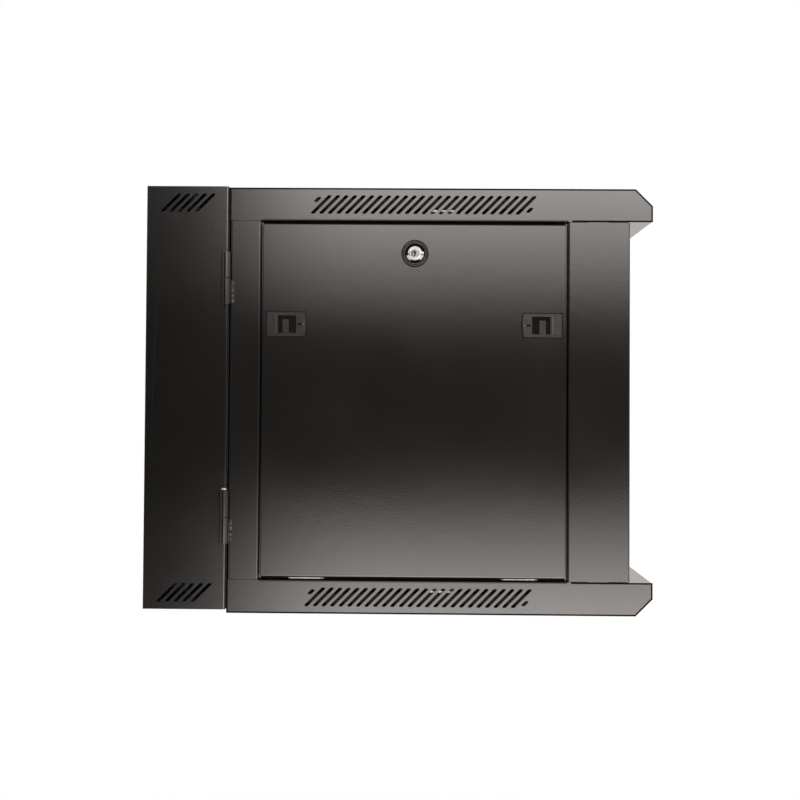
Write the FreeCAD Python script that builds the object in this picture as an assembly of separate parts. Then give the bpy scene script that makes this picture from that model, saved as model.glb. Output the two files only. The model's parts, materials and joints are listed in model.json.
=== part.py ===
"""Wall mount network cabinet, 19 inch, two sections.

A shallow wall section is bolted to the wall. The cabinet body hangs on it by two barrel
hinges on the left and swings out for access to the back. The body has a framed glass door
between a roof and a floor that project past it, lift-off side panels with a cam lock and
two slide latches each, and four square-hole rack rails on depth bars.

Frame: millimetres, +Z up, the front faces -Y, the left side faces -X. The origin is the
middle of the wall section's back face, which lies in the plane y = 0.
"""
import FreeCAD
import Part
import math
import os

V = FreeCAD.Vector

# ---------------------------------------------------------------- driving dimensions
width = 600.0                 # over the side faces
sheet = 1.2                   # body, door and side panel sheet
bend = 0.8                    # inside bend radius of that sheet
seam = 0.2                    # paint gap between sheet parts that are welded together
post_seam = 0.7               # open joint line at the posts' ends
seat = 0.3                    # gap where one piece rests on another

# wall section
wall_height = 498.5
wall_depth = 97.0
wall_sheet = 1.5
wall_flange = 25.0            # front flange, turned inwards
wall_return = 10.0            # stiffening return behind the front flange
back_flange = 15.0            # edge of the back panel, turned forwards
wall_bolt_x = 500.0           # hole pattern for the wall bolts
wall_bolt_z = 400.0
wall_bolt_r = 4.5
keyhole_x = 300.0             # spacing of the two hanging keyholes
keyhole_z = 222.0             # height of their entry circles
keyhole_r = 6.5
keyhole_neck_r = 3.5
keyhole_rise = 12.0
window_width = 280.0          # cable windows in the back panel
window_height = 80.0
window_z = 130.0
window_corner_r = 8.0

# body
body_height = 501.0
body_depth = 499.1
section_gap = 1.2             # between the wall section and the body
gasket_strip = 20.0           # foam strip on the wall section's front flange
gasket_edge = 1.2             # from the side faces to the strip
gasket_free = 0.2             # between the strip and the body
body_drop = 2.7               # the hung body sits this much below the wall section's middle
rim = 39.0                    # height of the roof's and the floor's side rails
nose = 20.0                   # chamfer of the projecting front edge, both ways
beak = 26.7                   # how far roof and floor project past the front posts
rear_flange = 28.0            # rear posts, flange across the back
rear_return = 10.0
post_set_in = 1.4             # rear posts, from the body's back
rear_post = 37.0              # from the body's back to the side panel's opening
front_post = 72.5             # side face of a front post
front_flange = 20.0           # front face of a front post
stop_lip = 12.0               # lip of a front post behind the door's edge
panel_lip = 13.0              # lips that the side panels close on
tab_height = 13.0             # welding tabs of the posts, inside the rails
tab_lap = 8.0
tab_width = 24.0

# vent slots, leaning 45 degrees
slot_count = 25
slot_pitch = 10.08
slot_height = 22.0
slot_width = 3.85
slot_round = 1.2
roof_slot_top = 8.6           # from the roof's face to the slots
roof_slots_behind = 228.9     # from the body's back to the middle of the slots
floor_slots_behind = 224.9
stub_inset = 2.2              # the short slots at both ends of the row
stub_height = 6.0
wall_slot_count = 5
wall_slot_width = 3.7
wall_slot_height = 22.0
wall_slot_top = 8.6
wall_slots_behind = 48.5      # from the wall to the middle of the slots
fan_spacing = 105.0           # screw pattern of a 120 mm fan
fan_screw_r = 2.25
fan_vent_r = 52.0
fan_vent_slot = 5.0
fan_vent_pitch = 11.0
fan_x = 115.0
fan_behind = 250.0

# cable entries with cover plates
entry_width = 260.0
entry_depth = 50.0
wall_entry_depth = 40.0
entry_behind = 55.0           # from the body's back to the middle of its entries
cover_margin = 12.0
cover_screw_r = 2.0
cover_screw_head_r = 3.8
cover_screw_head = 2.4
hole_play = 0.25              # radial play of a screw in its hole

# barrel hinges between the sections
barrel_r = 5.5
barrel_length = 31.0
barrel_off = 0.3              # from the side faces to the barrels
barrel_behind = 2.6           # from the middle of the gap between the sections back to the axis
barrel_split = 0.6            # gap between the two knuckles
hinge_splits = (139.8, -140.7)             # heights of those gaps
foot_edge = 0.4               # weld feet, from the edges of the two sections
foot_under = 1.0              # the wall section's foot ends this far under its barrel
foot_past = 1.2               # the body's foot ends this far past its barrel
hinge_pin_r = 3.0
pin_fit = 0.05                # running clearance, radial
press_gap = 0.01              # tight clearance, radial
hinge_head_r = 3.6
hinge_head = 3.0
clip_r = 4.2
clip_thickness = 1.0
clip_play = 0.2               # radial, in its recess
clip_recess = 3.2             # depth of the recess in the lower knuckle's end
pin_tail = 1.2                # pin below its clip

# side panels
panel_gap = 2.5               # at the posts
panel_top_gap = 3.8
panel_bottom_gap = 4.5
panel_depth = 12.0
panel_fold_r = 1.0            # outer radius of the folds of a side panel and of the door
lug_spacing = 250.0           # the two support lugs under a panel
lug_length = 52.0             # rest plate
lug_width = 10.0
lug_inset = 0.6               # from the side face to a lug
lug_plate = 0.8
lug_bar = 42.0                # stiffening bar under the rest plate, and the web behind it
lug_bar_gap = 0.8
lug_bar_plate = 1.8
lug_web = 2.0                 # thickness of the web
tongue_length = 30.0          # tongue of a lug, standing in a slot of the panel's bottom fold
tongue_rise = 5.0
tongue_inset = 5.4            # from the side face to the tongue
tongue_slot_near = 4.7        # from the side face to the near and far sides of the slot
tongue_slot_far = 9.0

# slide latches
latch_z = 86.3                # height of a latch's middle
latch_edge = 5.0              # from the panel's edge to the bezel
latch_length = 47.3
latch_height = 28.5
latch_bezel = 2.0
latch_edge_chamfer = 0.7
latch_taper = 2.1             # slightly pointed end of the bezel
latch_corner_r = 1.5
latch_nose_r = 40.0
latch_slit_start = 36.4
latch_slit_end = 42.2
latch_slit = 1.5
latch_slit_depth = 8.0
latch_body_start = 7.4        # from the bezel's outer edge to the body
latch_body_length = 35.4
latch_body_height = 26.4
latch_body_wall = 1.0
latch_window_start = 13.7
latch_window = 20.6           # its height
latch_window_length = 21.4
latch_pad = 7.4
latch_pad_top = 4.6           # from the window's top to the pad's
latch_pad_start = 5.4         # from the window's outer side to the finger pad, at rest
latch_pad_proud = 0.6
latch_back_cover = 1.2
latch_fit = 0.25              # body in the panel's cut-out
slider_plate = 3.0
slider_start = 11.7           # from the bezel's outer edge to the slider's end bar, at rest
slider_bar = 1.8
slider_height = 24.4
slider_tongue = 2.3
slider_tongue_height = 18.0
slider_play = 0.2
tip_short = 0.4               # the tongue's tip rests this much short of the post's lip

# key locks
lock_bezel_r = 16.0
lock_bezel = 3.0
lock_dish_r = 14.4            # dish in the bezel, at its rim and at its floor
lock_floor_r = 9.6
lock_floor = 1.0
lock_barrel_r = 9.5
lock_plug_r = 6.0
lock_head_r = 8.4
lock_head = 2.6
key_slot = 1.4
key_length = 7.0
key_deep = 2.0
lock_nut_flats = 24.0
lock_nut = 4.0
lock_drive = 8.0              # square that carries the cam
cam_behind = 0.6              # gap between a lip and the cam that passes behind it
barrel_short = 0.5            # gap between the barrel's end and the cam
cam_plate = 2.0
cam_width = 15.0
cam_stub_r = 3.0
cam_nut_flats = 10.0
cam_nut = 3.5
lock_below_edge = 34.4        # side panel lock, below the panel's top edge
lock_ahead = 0.7              # and in front of the panel's middle
side_cam_reach = 36.0
door_cam_reach = 26.0
swing_cam_behind = 16.0       # from the side face to the swing lock's hook
swing_lock_behind = 18.5      # from the body's back to the swing lock's axis
hook_r = 28.0                 # from that axis to the keeper pin
hook_arm = 5.0
hook_ahead = 16.0             # degrees of claw ahead of the pin and behind it
hook_after = 20.0
keeper_pin_r = 2.5
keeper_play = 0.7
keeper_rise = 12.0            # half height of the keeper bracket
keeper_depth = 30.0
keeper_cheek = 3.2            # from the hook to the bracket's cheek
keeper_pin_length = 12.0
hook_room = 6.0               # half width of the openings that the hook passes
hook_room_below = 1.0         # spare height below the turned hook
hook_room_above = 13.0        # height of the openings above the lock's axis

# door
door_gap = 2.5
door_thickness = 16.0
door_inset = 0.5              # behind the posts' front faces
door_pivot_side = 7.5         # from the door's edge to its pivot
door_pivot_depth = 5.0        # from the door's face to its pivot
door_stop = 3.5               # from the door's back to the stop lips
door_lip = 10.0               # stop lips of the roof and the floor
door_strip = 56.0             # frame beside the glass
door_band = 44.0              # frame above and below the glass
glass = 4.0
glass_lap = 10.0
gasket = 1.0
gasket_width = 8.0
door_pin_r = 3.0
door_pin_reach = 2.0          # how far a pin passes the roof's or the floor's sheet
collar_r = 5.0
pin_bracket_below = 24.0      # from the door's top edge to the bracket that guides the pin
pin_bracket = 2.0
pin_bracket_depth = 10.0
pin_bracket_past = 8.0        # past the pin's axis
pin_bracket_leg = 16.0        # leg along the door's edge
pin_past = 2.0                # a pin past the bracket that guides it
pivot_rise = 8.0              # lower pin inside the door
pin_handle_below = 12.0
pin_handle_r = 2.0
pin_handle = 12.0
door_slot_count = 26
door_slot_pitch = 12.0
door_slot_height = 20.0
door_slot_clear = 24.0        # no slots this close to the door's lock

# rack rails and depth bars
units = 9
unit = 44.45
hole_pitch = 15.875
hole_edge = 6.35              # from a unit's lower end to the middle of its first hole
square_hole = 9.5
rail_inset = 75.0             # from the side face to the opening between the rails, 450 wide
row_inset = 7.55              # from a rail's edge to its hole row; the rows are 465.1 apart
rail_sheet = 2.0
rail_face = 37.0
rail_depth = 35.0
front_rail_setback = 53.5     # from the posts' front faces to the front rails
rear_rail_setback = 232.8     # from the body's back to the rear rails, set at mid depth
bar_top = 12.5                # from the roof's face to a depth bar's flanges
bar_height = 12.0
bar_width = 40.0
bar_sheet = 1.5
bar_clear = 5.0               # from the bar's ends to the roof's folds
rail_tab_inset = 8.0          # from the side face to the ends of the rails' tabs
bolt_spacing = 18.0
bolt_r = 3.0
bolt_flats = 10.0
bolt_head = 4.0
bolt_nut = 5.0
bolt_past_nut = 1.0

# earth studs
ground_r = 3.0
ground_length = 18.0
ground_washer_r = 6.0
ground_washer = 1.2
wall_ground_inset = 75.0      # from the right side face
wall_ground_rise = 68.5       # above the wall section's lower face
body_ground_inset = 100.0
body_ground_behind = 320.0    # from the body's back

# ---------------------------------------------------------------- derived places
half = width / 2
wall_top_z = wall_height / 2
body_z = -body_drop
roof_z = body_z + body_height / 2
floor_z = body_z - body_height / 2
back_y = -(wall_depth + section_gap)
front_y = back_y - body_depth
post_y = front_y + beak                    # front faces of the front posts
opening_rear_y = back_y - rear_post
opening_front_y = post_y + front_post
panel_rear_y = opening_rear_y - panel_gap
panel_front_y = opening_front_y + panel_gap
panel_mid_y = (panel_rear_y + panel_front_y) / 2
panel_top_z = roof_z - rim - panel_top_gap
panel_bottom_z = floor_z + rim + panel_bottom_gap
lip_x = half - panel_depth - seat          # outer faces of the lips behind the panels
hinge_x = -(half + barrel_off + barrel_r)
hinge_y = back_y + section_gap / 2 + barrel_behind
door_face_y = post_y + door_inset
door_back_y = door_face_y + door_thickness
stop_y = door_back_y + door_stop
door_half = half - front_flange - door_gap
door_top_z = roof_z - rim - door_gap
door_bottom_z = floor_z + rim + door_gap
door_axis_x = -door_half + door_pivot_side
door_axis_y = door_face_y + door_pivot_depth
front_rail_y = post_y + front_rail_setback
rear_rail_y = back_y - rear_rail_setback
soffit_z = roof_z - rim
floor_top_z = floor_z + rim
bar_x = half - sheet - seam - bar_width / 2
rack_edge = half - rail_inset              # inner edges of the rack rails
bar_web_z = roof_z - bar_top - bar_height
fan_y = back_y - fan_behind
lug_top_z = panel_bottom_z - seat
cam_x = lip_x - sheet - cam_behind         # outer faces of the side cams
side_lock_y = panel_mid_y - lock_ahead
side_lock_z = panel_top_z - lock_below_edge
door_lock_x = door_half - door_strip / 2
swing_lock_y = back_y - swing_lock_behind
hook_x = half - swing_cam_behind - cam_plate / 2
latch_y = panel_rear_y - latch_edge        # outer edge of the rear latches
latch_ledge = cam_x + slider_play + 0.5    # behind the finger opening, in front of the slider


# ---------------------------------------------------------------- shape helpers
def block(a, b):
    """A box between two opposite corners, in any order."""
    low = [min(p, q) for p, q in zip(a, b)]
    high = [max(p, q) for p, q in zip(a, b)]
    return Part.makeBox(*[h - l for h, l in zip(high, low)], V(*low))


def rod(start, direction, radius, length):
    return Part.makeCylinder(radius, length, V(*start), V(*direction))


def hex_prism(start, direction, flats, length):
    """A hexagonal prism along direction, a unit vector on an axis."""
    d = V(*direction)
    across = V(0, 0, 1) if abs(d.z) < 0.5 else V(1, 0, 0)
    other = d.cross(across)
    radius = flats / math.sqrt(3)
    points = []
    for n in range(7):
        a = math.radians(60 * n)
        points.append(V(*start) + across * (radius * math.cos(a)) + other * (radius * math.sin(a)))
    return Part.Face(Part.makePolygon(points)).extrude(d * length)


def join(shapes):
    first, rest = shapes[0], shapes[1:]
    return first.fuse(rest).removeSplitter() if rest else first


def mirror_x(shape):
    return shape.mirror(V(0, 0, 0), V(1, 0, 0))


def mirror_body_z(shape):
    """Turns a roof piece into the matching floor piece."""
    return shape.mirror(V(0, 0, body_z), V(0, 0, 1))


def mirror_panel_y(shape):
    return shape.mirror(V(0, panel_mid_y, 0), V(0, 1, 0))


def rounded_face(points, radii, to_3d):
    """The face of a closed outline, given as (u, v) corners, each with its own corner radius."""
    corners = []
    count = len(points)
    for n in range(count):
        p = V(*points[n], 0)
        if radii[n] <= 0:
            corners.append((p, None, p))
            continue
        a = (V(*points[n - 1], 0) - p).normalize()
        b = (V(*points[(n + 1) % count], 0) - p).normalize()
        half_angle = a.getAngle(b) / 2
        middle = (a + b).normalize()
        reach = radii[n] / math.tan(half_angle)
        centre = p + middle * (radii[n] / math.sin(half_angle))
        corners.append((p + a * reach, centre - middle * radii[n], p + b * reach))
    edges = []
    for n in range(count):
        start, mid, end = corners[n]
        if mid is not None:
            edges.append(Part.Arc(*[to_3d(q.x, q.y) for q in (start, mid, end)]).toShape())
        following = corners[(n + 1) % count][0]
        if (following - end).Length > 1e-6:
            edges.append(Part.LineSegment(to_3d(end.x, end.y), to_3d(following.x, following.y)).toShape())
    return Part.Face(Part.Wire(edges))


def in_xy(z):
    return lambda u, v: V(u, v, z)


def in_yz(x):
    return lambda u, v: V(x, u, v)


def in_xz(y):
    return lambda u, v: V(u, y, v)


def folded(path, thickness, to_3d, along, inside=bend):
    """A folded sheet: path is the drawn face's line, the material lies to its left."""
    points = [V(*p, 0) for p in path]
    directions = [(b - a).normalize() for a, b in zip(points, points[1:])]
    lefts = [V(-d.y, d.x, 0) for d in directions]
    drawn, offset = [], []
    for n, p in enumerate(points):
        if n in (0, len(points) - 1):
            side = lefts[0] if n == 0 else lefts[-1]
            drawn.append((p, 0))
            offset.append((p + side * thickness, 0))
            continue
        a, b = lefts[n - 1], lefts[n]
        miter = (a + b) * (thickness / (1 + a.dot(b)))
        turns_left = directions[n - 1].x * directions[n].y - directions[n - 1].y * directions[n].x > 0
        near, far = (inside + thickness, inside) if turns_left else (inside, inside + thickness)
        drawn.append((p, near))
        offset.append((p + miter, far))
    outline = drawn + offset[::-1]
    face = rounded_face([(p.x, p.y) for p, r in outline], [r for p, r in outline], to_3d)
    return face.extrude(V(*along))


def leaning_slot(middle_u, low_v, high_v, slot, to_3d, depth):
    """A slot leaning 45 degrees to +u as it rises, with level ends; middle_u is at half height."""
    span = slot * math.sqrt(2) / 2
    rise = (high_v - low_v) / 2
    points = [(middle_u - rise - span, low_v), (middle_u - rise + span, low_v),
              (middle_u + rise + span, high_v), (middle_u + rise - span, high_v)]
    return rounded_face(points, [slot_round] * 4, to_3d).extrude(V(*depth))


def pan(low, high, open_side, thickness, fold_r):
    """A sheet tray between two corners with its bends rounded; open_side is 0, 1 or 2 and a sign."""
    axis, sign = open_side
    outer = block(low, high)
    face_at = low[axis] if sign > 0 else high[axis]
    lo, hi = list(low), list(high)
    for n in range(3):
        if n != axis:
            lo[n] += thickness
            hi[n] -= thickness
    if sign > 0:
        lo[axis] += thickness
        hi[axis] += thickness
    else:
        lo[axis] -= thickness
        hi[axis] -= thickness
    edges = []
    for e in outer.Edges:
        box = e.BoundBox
        low_at = (box.XMin, box.YMin, box.ZMin)[axis]
        high_at = (box.XMax, box.YMax, box.ZMax)[axis]
        if abs(low_at - face_at) < 1e-4 and abs(high_at - face_at) < 1e-4:
            edges.append(e)
    outer = outer.makeFillet(fold_r, edges)
    return outer.cut(block(lo, hi))


def screw(start, direction, radius, length, head_r, head):
    """A pan head screw: start is under the head, direction points along the shank."""
    d = V(*direction)
    dome = Part.makeCylinder(head_r, head, V(*start) - d * head, d)
    rim_edges = [e for e in dome.Edges if (e.CenterOfMass - (V(*start) - d * head)).Length < 1e-4]
    dome = dome.makeFillet(head * 0.6, rim_edges)
    socket = hex_prism(tuple(V(*start) - d * head), direction, head_r * 0.8, head * 0.6)
    return dome.fuse(rod(start, direction, radius, length)).cut(socket).removeSplitter()


def set_on(shape, origin, x_axis, z_axis):
    """Places a shape made about the local origin, its local X and Z along the given unit vectors."""
    x, z = V(*x_axis), V(*z_axis)
    y = z.cross(x)
    matrix = FreeCAD.Matrix(x.x, y.x, z.x, origin[0], x.y, y.y, z.y, origin[1],
                            x.z, y.z, z.z, origin[2], 0, 0, 0, 1)
    placed = shape.copy()
    placed.Placement = FreeCAD.Placement(matrix).multiply(shape.Placement)
    return placed


parts = {}


def keep(name, *shapes):
    """Names a node. Several shapes stay separate solids in one file."""
    solids = [s for shape in shapes for s in shape.Solids]
    parts[name] = solids[0] if len(solids) == 1 else Part.makeCompound(solids)


# ---------------------------------------------------------------- wall section
def wall_slots():
    cuts = []
    for top in (wall_top_z - wall_slot_top, -wall_top_z + wall_slot_top + wall_slot_height):
        for n in range(wall_slot_count):
            offset = (n - (wall_slot_count - 1) / 2) * slot_pitch
            cuts.append(leaning_slot(wall_slots_behind + offset, top - wall_slot_height, top, wall_slot_width,
                                     lambda u, v: V(-half - wall_sheet, -u, v), (3 * wall_sheet, 0, 0)))
    return cuts


def hook_window(y_start, depth):
    """The space that the swing lock's hook needs through a flange on the right side."""
    reach = hook_r + keeper_pin_r + keeper_play + hook_arm + hook_room_below
    return block((hook_x - hook_room, y_start, body_z - reach),
                 (hook_x + hook_room, y_start + depth, body_z + hook_room_above))


def wall_side_left():
    path = [(-half, 0), (-half, -wall_depth), (-half + wall_flange, -wall_depth),
            (-half + wall_flange, -wall_depth + wall_return)]
    side = folded(path, wall_sheet, in_xy(-wall_top_z), (0, 0, wall_height))
    for end in (-1, 1):
        side = side.cut(block((-half + 2 * wall_sheet + bend, -wall_depth + wall_sheet + bend - seam,
                               end * (wall_top_z - wall_sheet - seam)),
                              (-half + wall_flange + 1, -wall_depth + wall_return + 1, end * (wall_top_z + 1))))
    return side.cut(wall_slots())


def wall_top():
    path = [(0, wall_top_z), (-wall_depth, wall_top_z), (-wall_depth, wall_top_z - wall_flange),
            (-wall_depth + wall_return, wall_top_z - wall_flange)]
    reach = half - wall_sheet - seam
    top = folded(path, wall_sheet, in_yz(-reach), (2 * reach, 0, 0))
    inner = half - wall_flange - seam
    for side in (-1, 1):
        top = top.cut(block((side * inner, -wall_depth - 1, 0),
                            (side * half, -wall_depth + wall_return + 2, wall_top_z - wall_sheet - bend)))
        top = top.cut(block((side * inner, -wall_depth - 1, 0),
                            (side * half, -wall_depth + wall_sheet + bend, wall_top_z + 1)))
    entry_y = -wall_depth / 2
    return top.cut(block((-entry_width / 2, entry_y - wall_entry_depth / 2, wall_top_z - 3 * wall_sheet),
                         (entry_width / 2, entry_y + wall_entry_depth / 2, wall_top_z + 1)))


def wall_back_panel():
    reach_x = half - wall_sheet - seam
    reach_z = wall_top_z - wall_sheet - seam
    back = pan((-reach_x, -back_flange, -reach_z), (reach_x, 0, reach_z), (1, -1), wall_sheet,
               wall_sheet + bend)
    for x in (-wall_bolt_x / 2, wall_bolt_x / 2):
        for z in (-wall_bolt_z / 2, wall_bolt_z / 2):
            back = back.cut(rod((x, 1, z), (0, -1, 0), wall_bolt_r, 2 * wall_sheet))
    for x in (-keyhole_x / 2, keyhole_x / 2):
        back = back.cut(rod((x, 1, keyhole_z - keyhole_rise), (0, -1, 0), keyhole_r, 2 * wall_sheet))
        back = back.cut(rod((x, 1, keyhole_z), (0, -1, 0), keyhole_neck_r, 2 * wall_sheet))
        back = back.cut(block((x - keyhole_neck_r, 1, keyhole_z - keyhole_rise),
                              (x + keyhole_neck_r, 1 - 2 * wall_sheet, keyhole_z)))
    for z in (-window_z, window_z):
        w, h = window_width / 2, window_height / 2
        outline = [(-w, z - h), (w, z - h), (w, z + h), (-w, z + h)]
        window = rounded_face(outline, [window_corner_r] * 4, in_xz(1))
        back = back.cut(window.extrude(V(0, -2 * wall_sheet, 0)))
    return back


def cover_and_screws(mid_y, entry, plane_z, sheet_z, up):
    """A cover plate inside a cable entry and its four screws; up is 1 under a roof, -1 over a floor."""
    x, y = entry_width / 2 + cover_margin, entry / 2 + cover_margin
    under = plane_z - up * sheet_z
    plate = block((-x, mid_y - y, under), (x, mid_y + y, under - up * sheet))
    screws, holes = [], []
    for sx in (-1, 1):
        for sy in (-1, 1):
            at = (sx * (x - cover_margin / 2), mid_y + sy * (y - cover_margin / 2), under - up * sheet)
            screws.append(screw(at, (0, 0, up), cover_screw_r, sheet + sheet_z - seam,
                                cover_screw_head_r, cover_screw_head))
            holes.append(rod((at[0], at[1], at[2] - up * cover_screw_head), (0, 0, up),
                             cover_screw_r + hole_play, cover_screw_head + sheet + 2 * sheet_z))
    return plate.cut(holes), screws, holes


def knuckle(bottom_z, foot_from, foot_to, bore):
    """A hinge knuckle with a weld foot between two depths."""
    length = barrel_length - barrel_split / 2
    barrel = rod((hinge_x, hinge_y, bottom_z), (0, 0, 1), barrel_r, length)
    rims = [e for e in barrel.Edges if e.Curve.TypeId == "Part::GeomCircle"]
    barrel = barrel.makeFillet(0.5, rims)
    foot = block((hinge_x, foot_from, bottom_z + 2), (-half, foot_to, bottom_z + length - 2))
    return barrel.fuse(foot).removeSplitter().cut(
        rod((hinge_x, hinge_y, bottom_z - 1), (0, 0, 1), bore, length + 2))


def hinge_pin(split_z):
    top = split_z + barrel_length
    bottom = split_z - barrel_length
    groove_z = bottom + clip_recess - seat - clip_thickness
    shank_low = groove_z - pin_tail
    pin = rod((hinge_x, hinge_y, shank_low), (0, 0, 1), hinge_pin_r, top - shank_low)
    head = rod((hinge_x, hinge_y, top), (0, 0, 1), hinge_head_r, hinge_head)
    crown = [e for e in head.Edges if abs(e.BoundBox.ZMin - top - hinge_head) < 1e-4]
    head = head.makeFillet(hinge_head * 0.8, crown)
    neck = hinge_pin_r - 0.6
    groove = rod((hinge_x, hinge_y, groove_z), (0, 0, 1), hinge_pin_r + 1, clip_thickness).cut(
        rod((hinge_x, hinge_y, groove_z), (0, 0, 1), neck, clip_thickness))
    clip = rod((hinge_x, hinge_y, groove_z + 0.05), (0, 0, 1), clip_r, clip_thickness - 0.1).cut(
        [rod((hinge_x, hinge_y, groove_z), (0, 0, 1), neck + 0.05, clip_thickness),
         block((hinge_x, hinge_y - neck * 0.9, groove_z), (hinge_x - 2 * clip_r, hinge_y + neck * 0.9,
                                                           groove_z + clip_thickness))])
    return pin.fuse(head).removeSplitter().cut(groove), clip


def swing_keeper():
    """A folded bracket on the wall section's right side with the pin that the hook takes."""
    pin_y = swing_lock_y + hook_r
    inner = half - wall_sheet - seam
    cheek = hook_x + cam_plate / 2 + keeper_cheek
    near_y = -wall_depth + wall_sheet + bend + seam
    path = [(inner, near_y), (inner, near_y + keeper_depth), (cheek, near_y + keeper_depth), (cheek, near_y)]
    bracket = folded(path, wall_sheet, in_xy(body_z - keeper_rise), (0, 0, 2 * keeper_rise))
    pin = rod((cheek + wall_sheet, pin_y, body_z), (-1, 0, 0), keeper_pin_r, keeper_pin_length)
    return bracket.fuse(pin).removeSplitter()


def section_gasket():
    """A foam strip round the wall section's front flange, open where the lock's hook passes."""
    out_x, out_z = half - gasket_edge, wall_top_z - gasket_edge
    in_x, in_z = out_x - gasket_strip, out_z - gasket_strip
    face = -wall_depth - (section_gap - gasket_free)
    ring = block((-out_x, face, -out_z), (out_x, -wall_depth, out_z))
    ring = ring.cut(block((-in_x, face - 1, -in_z), (in_x, 1 - wall_depth, in_z)))
    return ring.cut(hook_window(face - 1, 3))


def ground_stud(start, direction):
    """An earth stud with a washer and a nut; returns three solids."""
    d = V(*direction)
    stud = rod(start, direction, ground_r, ground_length)
    washer = rod(start, direction, ground_washer_r, ground_washer)
    washer = washer.cut(rod(start, direction, ground_r + hole_play, ground_washer))
    nut_at = tuple(V(*start) + d * (ground_washer + pin_fit))
    nut = hex_prism(nut_at, direction, bolt_flats, bolt_nut).cut(
        rod(nut_at, direction, ground_r + pin_fit, bolt_nut))
    return stud, washer, nut


def wall_section():
    left = wall_side_left()
    keep("wall_side_left", left)
    keep("wall_side_right", mirror_x(left).cut(hook_window(-wall_depth - 1, 3)))
    top = wall_top()
    covers, all_screws = [], []
    for up in (1, -1):
        plate, screws, holes = cover_and_screws(-wall_depth / 2, wall_entry_depth, up * wall_top_z,
                                                wall_sheet, up)
        covers.append(plate)
        all_screws += screws
        if up == 1:
            keep("wall_top", top.cut(holes))
        else:
            keep("wall_bottom", top.mirror(V(0, 0, 0), V(0, 0, 1)).cut(holes))
    keep("wall_cable_covers", *covers)
    keep("wall_cover_screws", *all_screws)
    keep("wall_back_panel", wall_back_panel())
    pins = []
    uppers = []
    for split in hinge_splits:
        uppers.append(knuckle(split + barrel_split / 2, foot_edge - wall_depth,
                              hinge_y + barrel_r - foot_under, hinge_pin_r + press_gap))
        pins += hinge_pin(split)
    keep("wall_hinge_knuckles", *uppers)
    keep("hinge_pins", *pins)
    keep("swing_keeper", swing_keeper())
    keep("section_gasket", section_gasket())
    stud_at = (half - wall_ground_inset, -wall_sheet, -wall_top_z + wall_ground_rise)
    keep("wall_ground_stud", *ground_stud(stud_at, (0, -1, 0)))


# ---------------------------------------------------------------- roof and floor
def roof_skin():
    """Roof sheet: back fold, top, chamfered front edge and the soffit back to the door stop."""
    path = [(back_y, soffit_z), (back_y, roof_z), (front_y + nose, roof_z), (front_y, roof_z - nose),
            (front_y, soffit_z), (stop_y, soffit_z), (stop_y, soffit_z - door_lip)]
    skin = folded(path, sheet, in_yz(-half), (width, 0, 0))
    lip_reach = half - front_flange - stop_lip - 3
    for side in (-1, 1):
        skin = skin.cut(block((side * lip_reach, stop_y - bend, soffit_z),
                              (side * (half + 1), stop_y + 3 * sheet, soffit_z - door_lip - 1)))
    axis_hole = rod((door_axis_x, door_axis_y, soffit_z - 1), (0, 0, 1), door_pin_r + pin_fit, 3 * sheet)
    entry_y = back_y - entry_behind
    entry = block((-entry_width / 2, entry_y - entry_depth / 2, roof_z - 3 * sheet),
                  (entry_width / 2, entry_y + entry_depth / 2, roof_z + 1))
    return skin.cut([axis_hole, entry])


def fan_vents():
    """Two round grilles of slots with the screw holes of a 120 mm fan."""
    cuts = []
    r = fan_vent_slot / 2
    rows = int(fan_vent_r // fan_vent_pitch)
    for x in (-fan_x, fan_x):
        for n in range(-rows, rows + 1):
            at = n * fan_vent_pitch
            reach = math.sqrt(fan_vent_r ** 2 - at ** 2) - r
            outline = [(x + at - r, fan_y - reach), (x + at + r, fan_y - reach),
                       (x + at + r, fan_y + reach), (x + at - r, fan_y + reach)]
            face = rounded_face(outline, [r * 0.98] * 4, in_xy(roof_z - 2 * sheet))
            cuts.append(face.extrude(V(0, 0, 3 * sheet)))
        for sx in (-1, 1):
            for sy in (-1, 1):
                cuts.append(rod((x + sx * fan_spacing / 2, fan_y + sy * fan_spacing / 2, roof_z - 2 * sheet),
                                (0, 0, 1), fan_screw_r, 3 * sheet))
    return cuts


def rail_slots(slots_behind, top):
    """The row of leaning vent slots in a left side rail, with a short slot at each end."""
    cuts = []
    bottom = top - slot_height
    for n in range(-1, slot_count + 1):
        offset = (n - (slot_count - 1) / 2) * slot_pitch
        low, high = bottom, top
        if n == -1:
            low, high = top - stub_inset - stub_height, top - stub_inset
        if n == slot_count:
            low, high = bottom + stub_inset, bottom + stub_inset + stub_height
        lean = (low + high) / 2 - (top + bottom) / 2
        cuts.append(leaning_slot(slots_behind + offset + lean, low, high, slot_width,
                                 lambda u, v: V(-half - sheet, back_y - u, v), (3 * sheet, 0, 0)))
    return cuts


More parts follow.
